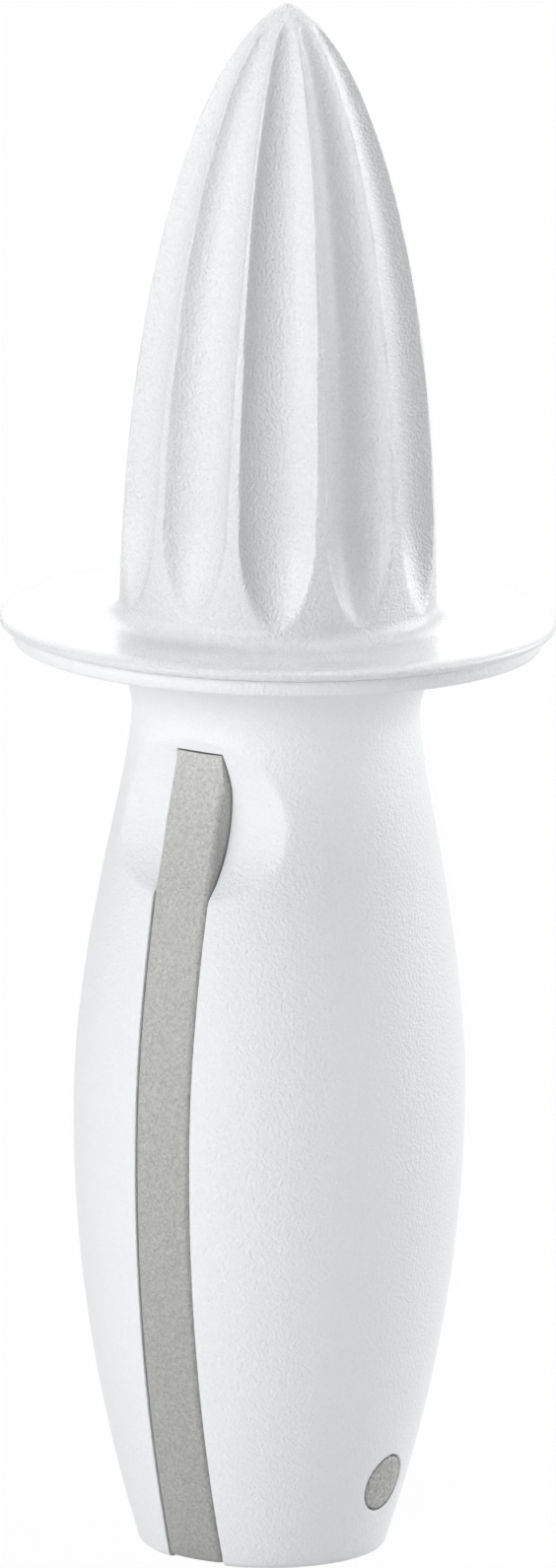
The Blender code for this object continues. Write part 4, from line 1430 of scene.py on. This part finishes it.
@dataclass
class Studio:
    """Camera, floor, soft lights and the pale surroundings."""
    azimuth: float = 33.4         # of the camera, in degrees from -Y towards +X
    elevation: float = 12.3
    roll: float = 0.975
    distance: float = 2.5
    view_height: float = 184.1 * MM  # of what the frame shows at the object
    sensor: float = 36.0
    clip: Pair = (0.1, 50.0)      # nearest and farthest distance that is drawn
    target_height: float = 91.4 * MM
    target_right: float = 0.37 * MM
    sky: float = 0.03             # how strongly the surroundings light the object
    room: float = 0.3             # how bright the room behind the camera is in reflections
    room_fade: Pair = (1.2, 0.4)  # how fast it takes over towards the camera, and its share at the side
    softness: float = 50.0        # apparent size of each light, in degrees
    lamps: tuple[Lamp, ...] = (Lamp("key_light", -60.0, 8.0, 0.415), Lamp("front_light", -30.0, 8.0, 0.54),
                               Lamp("rim_light", 110.0, 8.0, 0.9), Lamp("back_light", 180.0, 30.0, 0.18),
                               Lamp("top_light", 0.0, 88.0, 0.42))
    floor_radius: float = 6.0
    floor_tone: float = 0.82
    floor_glow: float = 0.97      # share of the floor that shows plain white, and so no shadow
    floor_sides: int = 64

    def build_camera(self) -> None:
        """Set the camera up at the photograph's angle."""
        data = bpy.data.cameras.new("camera")
        data.sensor_width = self.sensor
        data.lens = self.sensor * self.distance / self.view_height
        data.clip_start, data.clip_end = self.clip
        camera = add_object("camera", data)
        towards = direction(self.azimuth, self.elevation)
        aside = direction(self.azimuth + 90, 0.0) * self.target_right
        roll = Quaternion((0, 0, 1), math.radians(self.roll))
        camera.rotation_mode = "QUATERNION"
        camera.rotation_quaternion = (-towards).to_track_quat("-Z", "Y") @ roll
        camera.location = Vector((0, 0, self.target_height)) + aside + towards * self.distance
        bpy.context.scene.camera = camera

    def build_light(self, plan: Lamp) -> None:
        """Hang one soft light."""
        data = bpy.data.lights.new(plan.name, "SUN")
        data.energy = plan.level * math.pi
        data.angle = math.radians(self.softness)
        lamp = add_object(plan.name, data)
        lamp.rotation_mode = "QUATERNION"
        towards = direction(self.azimuth + plan.azimuth, plan.elevation)
        lamp.rotation_quaternion = towards.to_track_quat("Z", "Y")

    def build_world(self) -> None:
        """Surround the object with a white backdrop and, seen only in reflections, a dimmer room in front."""
        world = bpy.data.worlds.new("surroundings")
        world.use_nodes = True
        graph = Graph(world.node_tree)
        towards = graph.node("ShaderNodeTexCoord").outputs["Generated"]
        ahead = graph.value("ShaderNodeVectorMath", "Value", {"operation": "DOT_PRODUCT"},
                            {0: towards, 1: direction(self.azimuth, 0.0)})
        in_front = (ahead * self.room_fade[0] + self.room_fade[1]).clamped()
        dimmed = 1.0 - rays(graph, "Glossy") * in_front * (1.0 - self.room)
        strength = self.sky + rays(graph, "Camera", "Glossy", "Transmission") * (dimmed - self.sky)
        sky = graph.node("ShaderNodeBackground", None, {"Color": WHITE, "Strength": strength})
        graph.node("ShaderNodeOutputWorld", None, {"Surface": sky.outputs[0]})
        bpy.context.scene.world = world

    def build_floor(self) -> None:
        """Lay the pale floor, which keeps the object's shadow.

        The camera sees through it and light reaches what lies below it, so that the arm shows where it is
        folded out there. Its faces point down, so a ray from below meets their front.
        """
        rim = [(self.floor_radius * math.cos(a), self.floor_radius * math.sin(a), 0.0)
               for a in full_turn(self.floor_sides)]
        floor = skin("floor", [[(0.0, 0.0, 0.0)], rim], capped=False)
        material, graph = new_shader("floor_paper")
        matt = graph.node("ShaderNodeBsdfDiffuse", None, {"Color": (self.floor_tone,) * 3 + (1.0,)})
        glow = graph.node("ShaderNodeEmission", None, {"Color": WHITE, "Strength": 1.0})
        reflected = rays(graph, "Glossy", "Transmission")
        paper = graph.node("ShaderNodeMixShader", None, {
            0: reflected * self.floor_glow, 1: matt.outputs[0], 2: glow.outputs[0]})
        open_air = graph.node("ShaderNodeBsdfTransparent")
        from_below = 1.0 - graph.value("ShaderNodeNewGeometry", "Backfacing")
        clear = rays(graph, "Camera") * self.floor_glow + rays(graph, "Shadow") * from_below
        mixed = graph.node("ShaderNodeMixShader", None, {
            0: clear, 1: paper.outputs[0], 2: open_air.outputs[0]})
        graph.node("ShaderNodeOutputMaterial", None, {"Surface": mixed.outputs[0]})
        floor.data.materials.append(material)

    def build(self) -> None:
        """Set the whole studio up."""
        self.build_camera()
        for lamp in self.lamps:
            self.build_light(lamp)
        self.build_world()
        self.build_floor()
        bpy.context.scene.view_settings.view_transform = "Standard"


def main() -> None:
    """Build the studio and every piece in order."""
    logging.basicConfig(level=logging.INFO, format="%(message)s")
    Studio().build()
    finishes = Finishes.build()
    handle = Handle(finishes.handle)
    handle.build()
    Reamer(handle, finishes.reamer).build()
    GraterArm(handle, finishes.arm, finishes.plate, finishes.rivet).build()
    Pivot(handle, finishes.pivot).build()
    dress_node("seal_ring", finishes.seal)
    for side in ("right", "left"):
        dress_node(f"friction_washer_{side}", finishes.washer)


if __name__ == "__main__":
    main()
